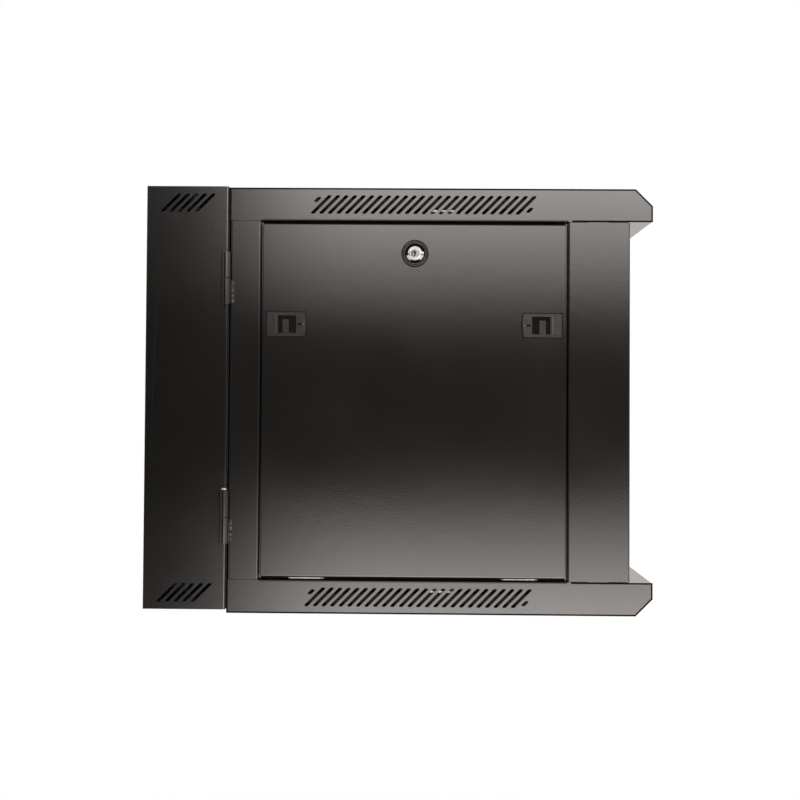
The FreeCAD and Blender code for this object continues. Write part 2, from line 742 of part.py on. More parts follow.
def side_rail():
    """Left side rail of the roof: a flat plate inside the skin's fold, with the lip behind the panel."""
    inner = sheet + seam
    chamfer = inner * math.tan(math.radians(22.5))
    outline = [(back_y - inner, soffit_z), (back_y - inner, roof_z - inner),
               (front_y + nose + chamfer, roof_z - inner), (front_y + inner, roof_z - nose - chamfer),
               (front_y + inner, soffit_z + inner), (stop_y + inner, soffit_z + inner),
               (stop_y + inner, soffit_z)]
    corner = bend + seam
    face = rounded_face(outline, [0, corner, corner, corner, corner, 0, 0], in_yz(-half))
    plate = face.extrude(V(sheet, 0, 0))
    fold_rear, fold_front = opening_rear_y - seam, opening_front_y + seam
    path = [(-half, soffit_z + 6), (-half, soffit_z), (-lip_x, soffit_z), (-lip_x, soffit_z - panel_lip)]
    lip = folded(path, sheet, in_xz(fold_front), (0, fold_rear - fold_front, 0))
    for near, far in ((fold_rear, opening_rear_y - panel_lip - seat),
                      (fold_front, opening_front_y + panel_lip + seat)):
        lip = lip.cut(block((-lip_x - sheet, near, soffit_z),
                            (-lip_x + 2 * sheet, far, soffit_z - panel_lip - 1)))
    clear = block((-half - 1, fold_rear, soffit_z - 1), (-half + 3 * sheet, fold_front, soffit_z + 6))
    return join([plate.cut(clear), lip])


def roof_and_floor():
    skin = roof_skin()
    rail = side_rail()
    entry_y = back_y - entry_behind
    roof_cover, roof_screws, roof_holes = cover_and_screws(entry_y, entry_depth, roof_z, sheet, 1)
    floor_cover, floor_screws, floor_holes = cover_and_screws(entry_y, entry_depth, floor_z, sheet, -1)
    keep("roof_panel", skin.cut(fan_vents() + roof_holes))
    keep("floor_panel", mirror_body_z(skin).cut(floor_holes))
    keep("cable_covers", roof_cover, floor_cover)
    keep("cable_cover_screws", *roof_screws, *floor_screws)
    roof = rail.cut(rail_slots(roof_slots_behind, roof_z - roof_slot_top))
    floor = mirror_body_z(rail).cut(rail_slots(floor_slots_behind, floor_z + roof_slot_top + slot_height))
    keep("roof_rail_left", roof)
    keep("roof_rail_right", mirror_x(roof))
    keep("floor_rail_left", floor)
    keep("floor_rail_right", mirror_x(floor))


# ---------------------------------------------------------------- posts, bars and rack rails
def post(path, tab_y):
    """A left post folded from the path, with the welding tabs at both ends of its side face."""
    low = floor_top_z + post_seam
    column = folded(path, sheet, in_xy(low), (0, 0, soffit_z - post_seam - low))
    inner = -half + sheet
    tab = block((inner + seam, tab_y, soffit_z - tab_lap),
                (inner + seam + sheet, tab_y + tab_width, soffit_z + tab_height))
    step = block((inner, tab_y, soffit_z - tab_lap), (inner + seam, tab_y + tab_width, soffit_z - post_seam))
    tab = tab.fuse(step)
    return join([column, tab, mirror_body_z(tab)])


def posts():
    front = post([(-lip_x, opening_front_y + panel_lip), (-lip_x, opening_front_y), (-half, opening_front_y),
                  (-half, post_y), (-half + front_flange, post_y), (-half + front_flange, stop_y),
                  (-half + front_flange + stop_lip, stop_y)], stop_y + 5)
    back = back_y - post_set_in
    rear = post([(-half + rear_flange, back - rear_return), (-half + rear_flange, back), (-half, back),
                 (-half, opening_rear_y), (-lip_x, opening_rear_y), (-lip_x, opening_rear_y - panel_lip)],
                back - 5 - tab_width)
    keep("front_post_left", front)
    keep("front_post_right", mirror_x(front))
    keep("rear_post_left", rear)
    lock_hole = rod((half + 1, swing_lock_y, body_z), (-1, 0, 0), lock_barrel_r + hole_play, 4)
    keep("rear_post_right", mirror_x(rear).cut([lock_hole, hook_window(back_y - 3, 4)]))


def bolt_places():
    """Plan positions of the rail bolts, left side."""
    places = []
    for face_y, sign in ((front_rail_y, 1), (rear_rail_y, -1)):
        for n in (-1, 1):
            places.append((-bar_x, face_y + sign * rail_depth / 2 + n * bolt_spacing / 2))
    return places


def depth_bar():
    """Left bar under the roof: a channel with its web down and its flanges up."""
    outer, inner = -bar_x - bar_width / 2, -bar_x + bar_width / 2
    path = [(outer, bar_web_z + bar_height), (outer, bar_web_z), (inner, bar_web_z),
            (inner, bar_web_z + bar_height)]
    start = stop_y + sheet + bar_clear
    bar = folded(path, bar_sheet, in_xz(start), (0, back_y - sheet - bar_clear - start, 0))
    return bar.cut([rod((x, y, bar_web_z - 1), (0, 0, 1), bolt_r + hole_play, 4) for x, y in bolt_places()])


def rack_rail():
    """Front left rack rail with its square holes and the tabs that are bolted to the bars."""
    outer = -rack_edge - rail_face
    height = 2 * (bar_web_z - body_z)
    low = body_z - height / 2
    path = [(outer, front_rail_y + rail_depth), (outer, front_rail_y), (-rack_edge, front_rail_y)]
    rail = folded(path, rail_sheet, in_xy(low), (0, 0, height), rail_sheet)
    tab = block((-half + rail_tab_inset, front_rail_y + rail_sheet, bar_web_z - rail_sheet),
                (outer + rail_sheet / 2, front_rail_y + rail_depth, bar_web_z))
    rail = join([rail, tab, mirror_body_z(tab)])
    holes = []
    row_x = -rack_edge - row_inset
    for u in range(units):
        for n in range(3):
            z = body_z - units * unit / 2 + u * unit + hole_edge + n * hole_pitch
            holes.append(block((row_x - square_hole / 2, front_rail_y - 1, z - square_hole / 2),
                               (row_x + square_hole / 2, front_rail_y + 2 * rail_sheet, z + square_hole / 2)))
    for x, y in bolt_places():
        holes.append(rod((x, y, low - 1), (0, 0, 1), bolt_r + hole_play, height + 2))
    return rail.cut(holes)


def rail_bolt(x, y):
    """A bolt under a tab of the roof's bars and its nut inside the bar."""
    under = bar_web_z - rail_sheet
    shank = rail_sheet + bar_sheet + bolt_nut + bolt_past_nut
    head = hex_prism((x, y, under - bolt_head), (0, 0, 1), bolt_flats, bolt_head)
    bolt = head.fuse(rod((x, y, under), (0, 0, 1), bolt_r, shank)).removeSplitter()
    nut_z = bar_web_z + bar_sheet
    nut = hex_prism((x, y, nut_z), (0, 0, 1), bolt_flats, bolt_nut)
    return bolt, nut.cut(rod((x, y, nut_z), (0, 0, 1), bolt_r + press_gap, bolt_nut))


def bars_and_rails():
    bar = depth_bar()
    bars = [bar, mirror_body_z(bar)]
    keep("depth_bars_left", *bars)
    keep("depth_bars_right", *[mirror_x(b) for b in bars])
    rail = rack_rail()
    middle = V(0, (front_rail_y + rear_rail_y) / 2, 0)
    rear = rail.mirror(middle, V(0, 1, 0))
    keep("rack_rail_front_left", rail)
    keep("rack_rail_front_right", mirror_x(rail))
    keep("rack_rail_rear_left", rear)
    keep("rack_rail_rear_right", mirror_x(rear))
    bolts = []
    for x, y in bolt_places():
        for solid in rail_bolt(x, y):
            bolts += [solid, mirror_body_z(solid), mirror_x(solid), mirror_x(mirror_body_z(solid))]
    keep("rail_bolts", *bolts)


def panel_lug():
    """A rest for a left side panel on the floor rail's lip, with the tongue that locates the panel."""
    near, far = -half + lug_inset, -half + lug_inset + lug_width
    bar_z = lug_top_z - lug_plate - lug_bar_gap
    rear, front = panel_mid_y + lug_bar / 2, panel_mid_y - lug_bar / 2
    rest = block((near, panel_mid_y - lug_length / 2, lug_top_z - lug_plate),
                 (far, panel_mid_y + lug_length / 2, lug_top_z))
    bar = block((near, front, bar_z - lug_bar_plate), (far, rear, bar_z))
    web = block((far - lug_web, front, floor_top_z), (far, rear, lug_top_z))
    at = -half + tongue_inset
    tongue = block((at, panel_mid_y - tongue_length / 2, lug_top_z - lug_plate / 2),
                   (at + lug_plate, panel_mid_y + tongue_length / 2, lug_top_z + tongue_rise))
    return join([rest, bar, web, tongue])


def body_fittings():
    lugs = []
    for offset in (-lug_spacing / 2, lug_spacing / 2):
        lug = panel_lug()
        lug.translate(V(0, offset, 0))
        lugs += [lug, mirror_x(lug)]
    keep("panel_lugs", *lugs)
    lowers = []
    for split in hinge_splits:
        low = split - barrel_length
        lower = knuckle(low, back_y - foot_edge, hinge_y - barrel_r - foot_past, hinge_pin_r + pin_fit)
        recess = rod((hinge_x, hinge_y, low - 1), (0, 0, 1), clip_r + clip_play, clip_recess + 1)
        lowers.append(lower.cut(recess))
    keep("body_hinge_knuckles", *lowers)
    stud_at = (half - body_ground_inset, back_y - body_ground_behind, floor_z + sheet)
    keep("body_ground_stud", *ground_stud(stud_at, (0, 0, 1)))


# ---------------------------------------------------------------- key locks
def lock_body(cam_at, sheet_in):
    """Bezel with barrel, and the nut that clamps a sheet of the given thickness; +Z is outward."""
    end = -(cam_at - barrel_short)
    bezel = Part.makeCylinder(lock_bezel_r, lock_bezel)
    rims = [e for e in bezel.Edges if abs(e.BoundBox.ZMin - lock_bezel) < 1e-4]
    bezel = bezel.makeFillet(1.2, rims)
    dish = Part.makeCone(lock_floor_r, lock_dish_r, lock_bezel - lock_floor, V(0, 0, lock_floor))
    barrel = Part.makeCylinder(lock_barrel_r, -end, V(0, 0, end))
    body = bezel.cut(dish).fuse(barrel).removeSplitter()
    body = body.cut(Part.makeCylinder(lock_plug_r + pin_fit, lock_bezel - end + 2, V(0, 0, end - 1)))
    nut_z = -sheet_in - lock_nut
    nut = hex_prism((0, 0, nut_z), (0, 0, 1), lock_nut_flats, lock_nut)
    nut = nut.cut(Part.makeCylinder(lock_barrel_r + press_gap, lock_nut, V(0, 0, nut_z)))
    return body, nut


def lock_plug(cam_at):
    """Plug with its head, key slot, drive square and threaded stub; +Z is outward."""
    end = -(cam_at - barrel_short)
    head_z = lock_floor + pin_fit
    head = Part.makeCylinder(lock_head_r, lock_head, V(0, 0, head_z))
    rims = [e for e in head.Edges if abs(e.BoundBox.ZMin - head_z - lock_head) < 1e-4]
    head = head.makeFillet(0.6, rims)
    shank = Part.makeCylinder(lock_plug_r, head_z - end, V(0, 0, end))
    square_end = -cam_at - cam_plate
    square = block((-lock_drive / 2, -lock_drive / 2, square_end), (lock_drive / 2, lock_drive / 2, end))
    stub = Part.makeCylinder(cam_stub_r, cam_nut + 1, V(0, 0, square_end - cam_nut - 1))
    key = block((-key_length / 2, -key_slot / 2, head_z + lock_head - key_deep),
                (key_length / 2, key_slot / 2, head_z + lock_head + 1))
    return join([head, shank, square, stub]).cut(key)


def cam_fixing(cam_at, plate):
    """Cuts the drive square in a cam plate made in the XY plane, puts it in place and adds its nut."""
    play = pin_fit
    hole = block((-lock_drive / 2 - play, -lock_drive / 2 - play, -1),
                 (lock_drive / 2 + play, lock_drive / 2 + play, cam_plate + 1))
    cam = plate.cut(hole)
    cam.translate(V(0, 0, -cam_at - cam_plate))
    nut_z = -cam_at - cam_plate - cam_nut
    nut = hex_prism((0, 0, nut_z), (0, 0, 1), cam_nut_flats, cam_nut)
    return cam, nut.cut(Part.makeCylinder(cam_stub_r + press_gap, cam_nut, V(0, 0, nut_z)))


def straight_cam(reach):
    """A cam along +X with round ends."""
    r = cam_width / 2
    bar = block((0, -r, 0), (reach - r, r, cam_plate))
    return join([bar, Part.makeCylinder(r, cam_plate), Part.makeCylinder(r, cam_plate, V(reach - r, 0, 0))])


def sector(inner_r, outer_r, start, end):
    """A flat ring sector between two angles in degrees, as thick as a cam."""
    ring = Part.makeCylinder(outer_r, cam_plate, V(0, 0, 0), V(0, 0, 1), end - start)
    ring = ring.cut(Part.makeCylinder(inner_r, cam_plate))
    ring.rotate(V(0, 0, 0), V(0, 0, 1), start)
    return ring


def hook_cam():
    """The swing lock's hook along +X. Its slot opens toward +Y and takes the keeper pin."""
    slot_half = keeper_pin_r + keeper_play
    inner, outer = hook_r - slot_half, hook_r + slot_half
    claw = sector(inner - hook_arm, outer + hook_arm, -hook_after, hook_ahead)
    arm = block((0, -hook_arm - 2, 0), (inner, hook_arm, cam_plate))
    hook = join([claw, arm, Part.makeCylinder(cam_width / 2, cam_plate)])
    slot = sector(inner, outer, 0, hook_ahead + 2)
    return hook.cut([slot, Part.makeCylinder(slot_half, cam_plate, V(hook_r, 0, 0))])


def lock_nodes(name, origin, rest, outward, cam_at, sheet_in, plate):
    """The three nodes of a lock. Rest and outward are the directions of its cam and of its face."""
    body = [set_on(s, origin, rest, outward) for s in lock_body(cam_at, sheet_in)]
    cam = [set_on(s, origin, rest, outward) for s in cam_fixing(cam_at, plate)]
    keep(name + "_body", *body)
    keep(name + "_plug", set_on(lock_plug(cam_at), origin, rest, outward))
    keep(name + "_cam", *cam)


def locks():
    for side, name in ((-1, "panel_lock_left"), (1, "panel_lock_right")):
        lock_nodes(name, (side * half, side_lock_y, side_lock_z), (0, -1, 0), (side, 0, 0), half - cam_x,
                   sheet, straight_cam(side_cam_reach))
    lock_nodes("door_lock", (door_lock_x, door_face_y, body_z), (0, 0, -1), (0, -1, 0),
               stop_y + sheet + cam_behind - door_face_y, sheet, straight_cam(door_cam_reach))
    lock_nodes("swing_lock", (half, swing_lock_y, body_z), (0, 0, -1), (1, 0, 0), swing_cam_behind, sheet,
               hook_cam())


# ---------------------------------------------------------------- slide latches
def latch_box(start, end, half_height, x_from, x_to):
    """A box of the rear left latch, between two distances from the bezel's outer edge."""
    return block((x_from, latch_y - start, latch_z - half_height),
                 (x_to, latch_y - end, latch_z + half_height))


def latch_cut_out():
    return latch_box(latch_body_start - latch_fit, latch_body_start + latch_body_length + latch_fit,
                     latch_body_height / 2 + latch_fit, -half - 1, -half + 2 * sheet)


def latch_housing():
    """Bezel with the body behind it, and the back cover that holds the slider in."""
    h = latch_height / 2
    end = latch_length - latch_taper
    outline = [(0, -h), (end, -h), (latch_length, 0), (end, h), (0, h)]
    r = latch_corner_r
    face = rounded_face(outline, [r, r, latch_nose_r, r, r],
                        lambda u, v: V(-half - latch_bezel, latch_y - u, latch_z + v))
    bezel = face.extrude(V(latch_bezel, 0, 0))
    rims = [e for e in bezel.Edges if e.BoundBox.XMax < -half - latch_bezel + 1e-4]
    bezel = bezel.makeChamfer(latch_edge_chamfer, rims)
    back = -latch_ledge + 2 * slider_play + slider_plate
    body_end = latch_body_start + latch_body_length
    body_half = latch_body_height / 2
    body = latch_box(latch_body_start, body_end, body_half, -half, back)
    shaft = latch_box(latch_window_start, latch_window_start + latch_window_length, latch_window / 2,
                      -half - 2 * latch_bezel, -latch_ledge)
    room = latch_box(latch_body_start + latch_body_wall, body_end - latch_body_wall,
                     slider_height / 2 + slider_play, -latch_ledge, back)
    mouth = latch_box(latch_body_start - 1, latch_body_start + 2 * latch_body_wall,
                      slider_tongue_height / 2 + slider_play, back - slider_tongue - 2 * slider_play, back)
    slit = latch_box(latch_slit_start, latch_slit_end, latch_slit / 2, -half - 2 * latch_bezel,
                     -half + latch_slit_depth)
    housing = join([bezel, body]).cut([shaft, room, mouth, slit])
    return housing, latch_box(latch_body_start, body_end, body_half, back, back + latch_back_cover)


def latch_slider():
    """Tongue, end bar, two guide strips and finger pad, with the tongue just short of the post's lip."""
    front = -latch_ledge + slider_play
    back = front + slider_plate
    tip = latch_y - (opening_rear_y - panel_lip) + tip_short
    pad_start = latch_window_start + latch_pad_start
    pad_end = pad_start + latch_pad
    frame = latch_box(slider_start, pad_end, slider_height / 2, front, back)
    frame = frame.cut(latch_box(slider_start + slider_bar, pad_end + 1, latch_window / 2, front - 1,
                                back + 1))
    tongue = latch_box(tip, slider_start, slider_tongue_height / 2, back - slider_tongue, back)
    foot_z = latch_z - latch_window / 2 + slider_play
    pad = block((-half - latch_bezel - latch_pad_proud, latch_y - pad_start, foot_z),
                (back, latch_y - pad_end, latch_z + latch_window / 2 - latch_pad_top))
    foot = block((front, latch_y - pad_start, latch_z - slider_height / 2), (back, latch_y - pad_end, foot_z))
    return join([frame, tongue, pad, foot])


# ---------------------------------------------------------------- side panels
def side_panel():
    panel = pan((-half, panel_front_y, panel_bottom_z), (-half + panel_depth, panel_rear_y, panel_top_z),
                (0, 1), sheet, panel_fold_r)
    cut_out = latch_cut_out()
    cuts = [cut_out, mirror_panel_y(cut_out)]
    cuts.append(rod((-half - 1, side_lock_y, side_lock_z), (1, 0, 0), lock_barrel_r + hole_play, 4))
    for offset in (-lug_spacing / 2, lug_spacing / 2):
        reach = tongue_length / 2 + 1
        slot_y = panel_mid_y + offset
        cuts.append(block((-half + tongue_slot_near, slot_y - reach, panel_bottom_z - 1),
                          (-half + tongue_slot_far, slot_y + reach, panel_bottom_z + 2 * sheet)))
    return panel.cut(cuts)


def side_panels():
    panel = side_panel()
    keep("side_panel_left", panel)
    keep("side_panel_right", mirror_x(panel))
    housings = []
    for solid in latch_housing():
        housings += [solid, mirror_panel_y(solid)]
    keep("latch_housings_left", *housings)
    keep("latch_housings_right", *[mirror_x(s) for s in housings])
    rear = latch_slider()
    front = mirror_panel_y(rear)
    keep("latch_slider_left_rear", rear)
    keep("latch_slider_left_front", front)
    keep("latch_slider_right_rear", mirror_x(rear))
    keep("latch_slider_right_front", mirror_x(front))


# ---------------------------------------------------------------- door
def door_outline(margin_x, margin_z, y_start, depth):
    """A block over the door's outline, smaller by the margins."""
    return block((-door_half + margin_x, y_start, door_bottom_z + margin_z),
                 (door_half - margin_x, y_start + depth, door_top_z - margin_z))


def door_frame():
    frame = pan((-door_half, door_face_y, door_bottom_z), (door_half, door_back_y, door_top_z), (1, 1),
                sheet, panel_fold_r)
    cuts = [door_outline(door_strip, door_band, door_face_y - 1, 4)]
    for side in (-1, 1):
        for n in range(door_slot_count):
            z = body_z + (n - (door_slot_count - 1) / 2) * door_slot_pitch
            if abs(z - body_z) < door_slot_clear:
                continue
            cuts.append(leaning_slot(side * door_lock_x, z - door_slot_height / 2, z + door_slot_height / 2,
                                     slot_width, in_xz(door_face_y - 1), (0, 4, 0)))
    cuts.append(rod((door_lock_x, door_face_y - 1, body_z), (0, 1, 0), lock_barrel_r + hole_play, 4))
    cuts.append(rod((door_axis_x, door_axis_y, door_top_z - 2), (0, 0, 1), door_pin_r + pin_fit, 4))
    cuts.append(rod((door_axis_x, door_axis_y, door_bottom_z - 2), (0, 0, 1), door_pin_r + press_gap, 4))
    return frame.cut(cuts)


def door_pivots():
    """Fixed lower pin with its collar, and the bracket that guides the upper pin."""
    collar = door_gap - seat
    low = floor_top_z - sheet - door_pin_reach
    pin = rod((door_axis_x, door_axis_y, low), (0, 0, 1), door_pin_r, door_bottom_z + pivot_rise - low)
    pin = pin.fuse(rod((door_axis_x, door_axis_y, door_bottom_z - collar), (0, 0, 1), collar_r, collar))
    top = door_top_z - pin_bracket_below
    left, front = -door_half + sheet, door_face_y + sheet
    back = front + pin_bracket_depth
    bracket = block((left, front, top - pin_bracket), (door_axis_x + pin_bracket_past, back, top))
    bracket = bracket.fuse(block((left, front, top - pin_bracket_leg), (left + pin_bracket, back, top)))
    hole = rod((door_axis_x, door_axis_y, top - 2 * pin_bracket), (0, 0, 1), door_pin_r + pin_fit,
               3 * pin_bracket)
    return pin.removeSplitter(), bracket.removeSplitter().cut(hole)


def door_top_pin():
    high = soffit_z + sheet + door_pin_reach
    low = door_top_z - pin_bracket_below - pin_bracket - pin_past
    pin = rod((door_axis_x, door_axis_y, low), (0, 0, 1), door_pin_r, high - low)
    pin = pin.makeFillet(0.6, [e for e in pin.Edges if abs(e.BoundBox.ZMin - high) < 1e-4])
    handle = rod((door_axis_x, door_axis_y, door_top_z - pin_handle_below), (1, 0, 0), pin_handle_r,
                 pin_handle)
    return pin.fuse(handle).removeSplitter()


def door():
    keep("door_frame", door_frame())
    lap_x, lap_z = door_strip - glass_lap, door_band - glass_lap
    behind = door_face_y + sheet
    keep("door_glass", door_outline(lap_x, lap_z, behind + gasket, glass))
    ring = door_outline(lap_x, lap_z, behind, gasket)
    keep("door_gasket", ring.cut(door_outline(lap_x + gasket_width, lap_z + gasket_width, behind, gasket)))
    keep("door_pivots", *door_pivots())
    keep("door_top_pin", door_top_pin())


# ---------------------------------------------------------------- build and write
wall_section()
roof_and_floor()
posts()
bars_and_rails()
body_fittings()
side_panels()
locks()
door()

os.makedirs("parts", exist_ok=True)
for name, shape in parts.items():
    shape.exportStep("parts/" + name + ".step")
print(len(parts), "nodes")
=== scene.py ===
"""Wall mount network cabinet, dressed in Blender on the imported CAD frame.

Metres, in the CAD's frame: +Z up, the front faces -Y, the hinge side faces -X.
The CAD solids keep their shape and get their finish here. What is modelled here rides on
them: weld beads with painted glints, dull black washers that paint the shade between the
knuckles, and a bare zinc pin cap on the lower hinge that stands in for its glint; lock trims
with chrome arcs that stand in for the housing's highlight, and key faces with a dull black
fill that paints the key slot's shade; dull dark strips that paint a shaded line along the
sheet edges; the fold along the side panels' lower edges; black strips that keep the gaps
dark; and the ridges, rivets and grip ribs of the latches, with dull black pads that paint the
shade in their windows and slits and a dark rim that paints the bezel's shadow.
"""
import bpy
import bmesh
import json
import math
import random
from mathutils import Matrix, Vector

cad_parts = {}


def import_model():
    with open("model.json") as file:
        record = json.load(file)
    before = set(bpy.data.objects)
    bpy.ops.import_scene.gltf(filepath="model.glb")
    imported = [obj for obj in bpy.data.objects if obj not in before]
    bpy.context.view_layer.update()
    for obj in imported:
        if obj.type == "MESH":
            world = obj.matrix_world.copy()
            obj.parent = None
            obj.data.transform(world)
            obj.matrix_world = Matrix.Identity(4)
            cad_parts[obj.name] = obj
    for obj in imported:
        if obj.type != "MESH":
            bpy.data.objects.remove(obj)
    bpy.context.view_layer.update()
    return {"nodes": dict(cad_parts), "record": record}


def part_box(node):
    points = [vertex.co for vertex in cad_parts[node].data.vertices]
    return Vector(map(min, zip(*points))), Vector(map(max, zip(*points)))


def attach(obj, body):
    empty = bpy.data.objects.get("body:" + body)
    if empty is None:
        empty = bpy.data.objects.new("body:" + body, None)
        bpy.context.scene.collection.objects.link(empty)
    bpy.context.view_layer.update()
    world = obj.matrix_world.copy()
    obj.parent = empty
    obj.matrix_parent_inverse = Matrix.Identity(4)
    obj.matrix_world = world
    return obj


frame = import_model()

nodes = frame["nodes"]

# ---------------------------------------------------------------- values
ROUND_STEPS = 72              # points of a round outline

# locks: the body that carries each, and where its face points
LOCKS = {"panel_lock_left": ("side_panel_left", (-1, 0, 0)),
         "panel_lock_right": ("side_panel_right", (1, 0, 0)),
         "door_lock": ("door", (0, -1, 0)),
         "swing_lock": ("cabinet_body", (1, 0, 0))}
BEZEL = 0.003                 # height of the CAD bezel
# heights from here on count from the foot of that bezel
TRIM_RINGS = ((0.0144, 0.0029), (0.0124, 0.0026))   # radius and height
TRIM_RING_R = 0.00035
TRIM_RING_SIDES = 8
SHOULDER_SECTION = ((0.0088, 0.0008), (0.0088, 0.0024), (0.0092, 0.0028), (0.0095, 0.0031),
                    (0.0102, 0.0026), (0.0102, 0.0010))
SHOULDER_HIGHLIGHT_ARCS = ((195, 238), (308, 372))            # degrees; chrome only on the lower arcs, where the housing's highlight falls: a painted highlight
SHOULDER_STEPS = 24
CAP_SECTION = ((0.0056, 0.0012), (0.0056, 0.0038), (0.0059, 0.0042), (0.0065, 0.0045),
               (0.0072, 0.0043), (0.0081, 0.0038), (0.0087, 0.0030), (0.0088, 0.0012))
FACE_RINGS = ((0.0044, 0.0039), (0.0050, 0.0037), (0.0054, 0.0037), (0.0055, 0.0012))
KEY_SLOT = (0.0030, 0.0006)   # half length and half width
KEY_SLOT_RIM = ((0.0, 0.0016), (0.0, 0.0037), (0.0002, 0.0039), (0.0004, 0.0039))   # growth and height
KEY_ARMS = (45, 135)          # short side arms of the slot, degrees from +X
KEY_ARM = 0.0021
KEY_SHADE_FILL = (0.0030, 0.0040)   # bottom and top of the dull black fill that paints the shade in the slot
KEY_ARM_TOP = 0.00404

# weld beads
BEAD_STEP = 0.00035
BEAD_SIDES = 12
BEAD_PITCH = 0.0016           # length and share of its ripples
BEAD_RIPPLE = 0.14
BEAD_LUMP = 0.0009            # length and share of its lumps, and the beat of the second wave in them
BEAD_SWELL = 0.25
BEAD_BEAT = 1.7
BEAD_END = (8, 0.08)          # how fast a bead grows from its end, and its share there
BEAD_SIZES = (0.9, 1.1)       # random share of a loop's size and of each of its points
BEAD_FLANKS = (0.88, 1.12)
BEAD_WANDER = 0.1             # random share of the radius, across the seam

# hinges
KNUCKLE = 0.0307
BARREL_R = 0.0055
HINGE_BEAD_R = 0.0025
HINGE_BEAD_OUT = 0.2          # share of that radius by which the seam lies ahead of the knuckle
HINGE_BEAD_INSET = 0.002
WASHER = 0.0006               # gap between two knuckles
WASHER_SECTION = ((0.0032, 0), (0.0032, 1), (0.0053, 1), (0.0055, 0.5), (0.0053, 0))   # radius, share of gap
WASHER_PLAY = (0.00005, 0.9)  # lift above the lower knuckle, and the share of the gap that is filled
# radius and height of the bare zinc cap on the lower pin head, which stands in for its glint
PIN_GLINT_CAP = ((0.0038, 0.0012), (0.0038, 0.0020), (0.0031, 0.0028), (0.0017, 0.0032), (0.0003, 0.0033))

# lugs under the side panels
LUG_BEAD_R = 0.0008
LUG_BEAD_DOWN = 0.0019        # below the side panel's edge
LUG_BEAD_REACH = 0.021        # half its length
LUG_MIDDLE = 0.026            # from the end of their row to the middle of a lug
LUG_SEED = 10

# sheet edges of roof and floor
EDGE_WIDTH = 0.0019
EDGE_RISE = 0.0002
EDGE_SECTION = ((0, 0), (0.12, 1), (0.88, 1), (1, 0))   # shares of width and rise
RIM = 0.039                   # height of the folded rim
NOSE = 0.020                  # sloping cut at its front end
REACH = 0.095                 # length of its inner edge line, over the front post

# fold along the lower edge of the side panels: rise and height of its section
FOLD = ((0, 0.0021), (0.00024, 0.0019), (0.00010, 0.0002), (0, 0))
FOLD_END = 0.0008             # from the panel's ends

# black strips in the gaps of the side panels, which keep the gaps dark
LIP_BEHIND = 0.0003           # from a panel's folded edge to the lip behind it
LIP_DEPTH = 0.013
GAP_STRIP = 0.0014                 # thickness
GAP_STRIP_FREE = 0.0003            # left free at both edges
GAP_STRIP_SHOULDER = 0.7           # share of its thickness at the flanks
GAP_STRIP_FLANK = 0.3              # share of its width that slopes at either flank

# latches: places along Y count from the bezel's outer edge
BEZEL_LENGTH = 0.0473
BEZEL_RISE = 0.0020
TAPER = 0.0021                # pointed end of the bezel
SHADOW_RIM_EDGE = 0.0007          # dark rim round the bezel's foot, past its outline: painted shadow
SHADOW_RIM = 0.0004
RIDGE_AT = (0.0088, 0.0131)   # flanks of the ridge beside the window
RIDGE = (0.0009, 0.0004)      # its rise at the lower and at the upper end
RIDGE_END = 0.0022            # from its ends to the bezel's edges
RIDGE_LEAN = 0.2              # share of its width that slopes at either flank
WINDOW_AT = (0.0138, 0.0350)
WINDOW_HALF = 0.0102
SLIT_AT = (0.0364, 0.0422)
SLIT_HALF = 0.0012
COVER = 0.0012                # the housing's back cover, which shows in the window
# thickness and lean of the dull black pads that paint the shade in the latches' windows and slits
SHADE_PAD = 0.00015
SHADE_PAD_LEAN = 0.01
RIVET_AT = 0.0436             # on the bezel, before its pointed end
RIVET_R = 0.0005
RIVET_DOME = ((1.0, -0.0002), (1.0, 0.0001), (0.6, 0.0004), (0.2, 0.0005))   # share of radius, height
RIVET_SIDES = 16
PAD_AT = 0.0220               # middle of the finger pad
RIB_COUNT = 3
RIB_PITCH = 0.0015
RIB_HALF = 0.0005
RIB = 0.00022                 # its rise
RIB_ENDS = (-0.008, 0.004)    # from the bezel's middle height
RIB_LEAN = 0.35
RIB_SINK = 0.00005            # how far ridges, ribs and the pads of painted shade start within the face

# floor
FLOOR_Z = -1.2
FLOOR_Y = -0.3
FLOOR_R = 9.0
FLOOR_SIDES = 96
FLOOR_COLOUR = (0.82, 0.82, 0.81, 1)
FLOOR_FADE = (1.2, 3.0)       # from its middle, to the white background

# walls of light: place, turn in degrees, sides, levels and full height, as light_wall explains
LIGHT_WALLS = {"light_wall_left": ((-3.4, -0.316, -0.007), 0, (0.73, 0.13, -1.1, -3.0), (0.0, 5.9), 0.675),
               "light_wall_front": ((0.0, -3.7, 0.0), 90, (-4.1, -4.0, 5.0, 6.0), (0.5, 2.1), 0.9),
               "light_wall_back": ((0.0, 3.6, 0.0), -90, (-4.1, -4.0, 5.0, 6.0), (0.1, 2.1), 1.2),
               "light_wall_right": ((3.4, -0.3, 0.0), 180, (-4.1, -4.0, 5.0, 6.0), (0.7, 2.1), 0.675)}
WALL_COLOUR = (1.0, 0.945, 0.905, 1.0)
WALL_HALF_WIDTH = 4.0
WALL_HEAD = 1.5
WALL_OFF_FLOOR = 0.02
DARK_HALF = 0.245             # half height of the walls' dark band
WALL_EDGE = (0.03, 0.15)      # light left at the two ends
WALL_FADE = (0.95, 1.40)      # height over which they fall back to the world's white
WORLD_LIGHT = 0.75

# camera, angles in degrees
CAMERA_AT = (-2.3, -0.3139, -0.0049)
CAMERA_YAW = 1.040            # from +X towards +Y
CAMERA_PITCH = 2.005
CAMERA_ROLL = 0.383
CAMERA_LENS = 76.46
CAMERA_SENSOR = 36.0
CAMERA_SHIFT = (0.0241, -0.0717)
CAMERA_FAR = 100.0


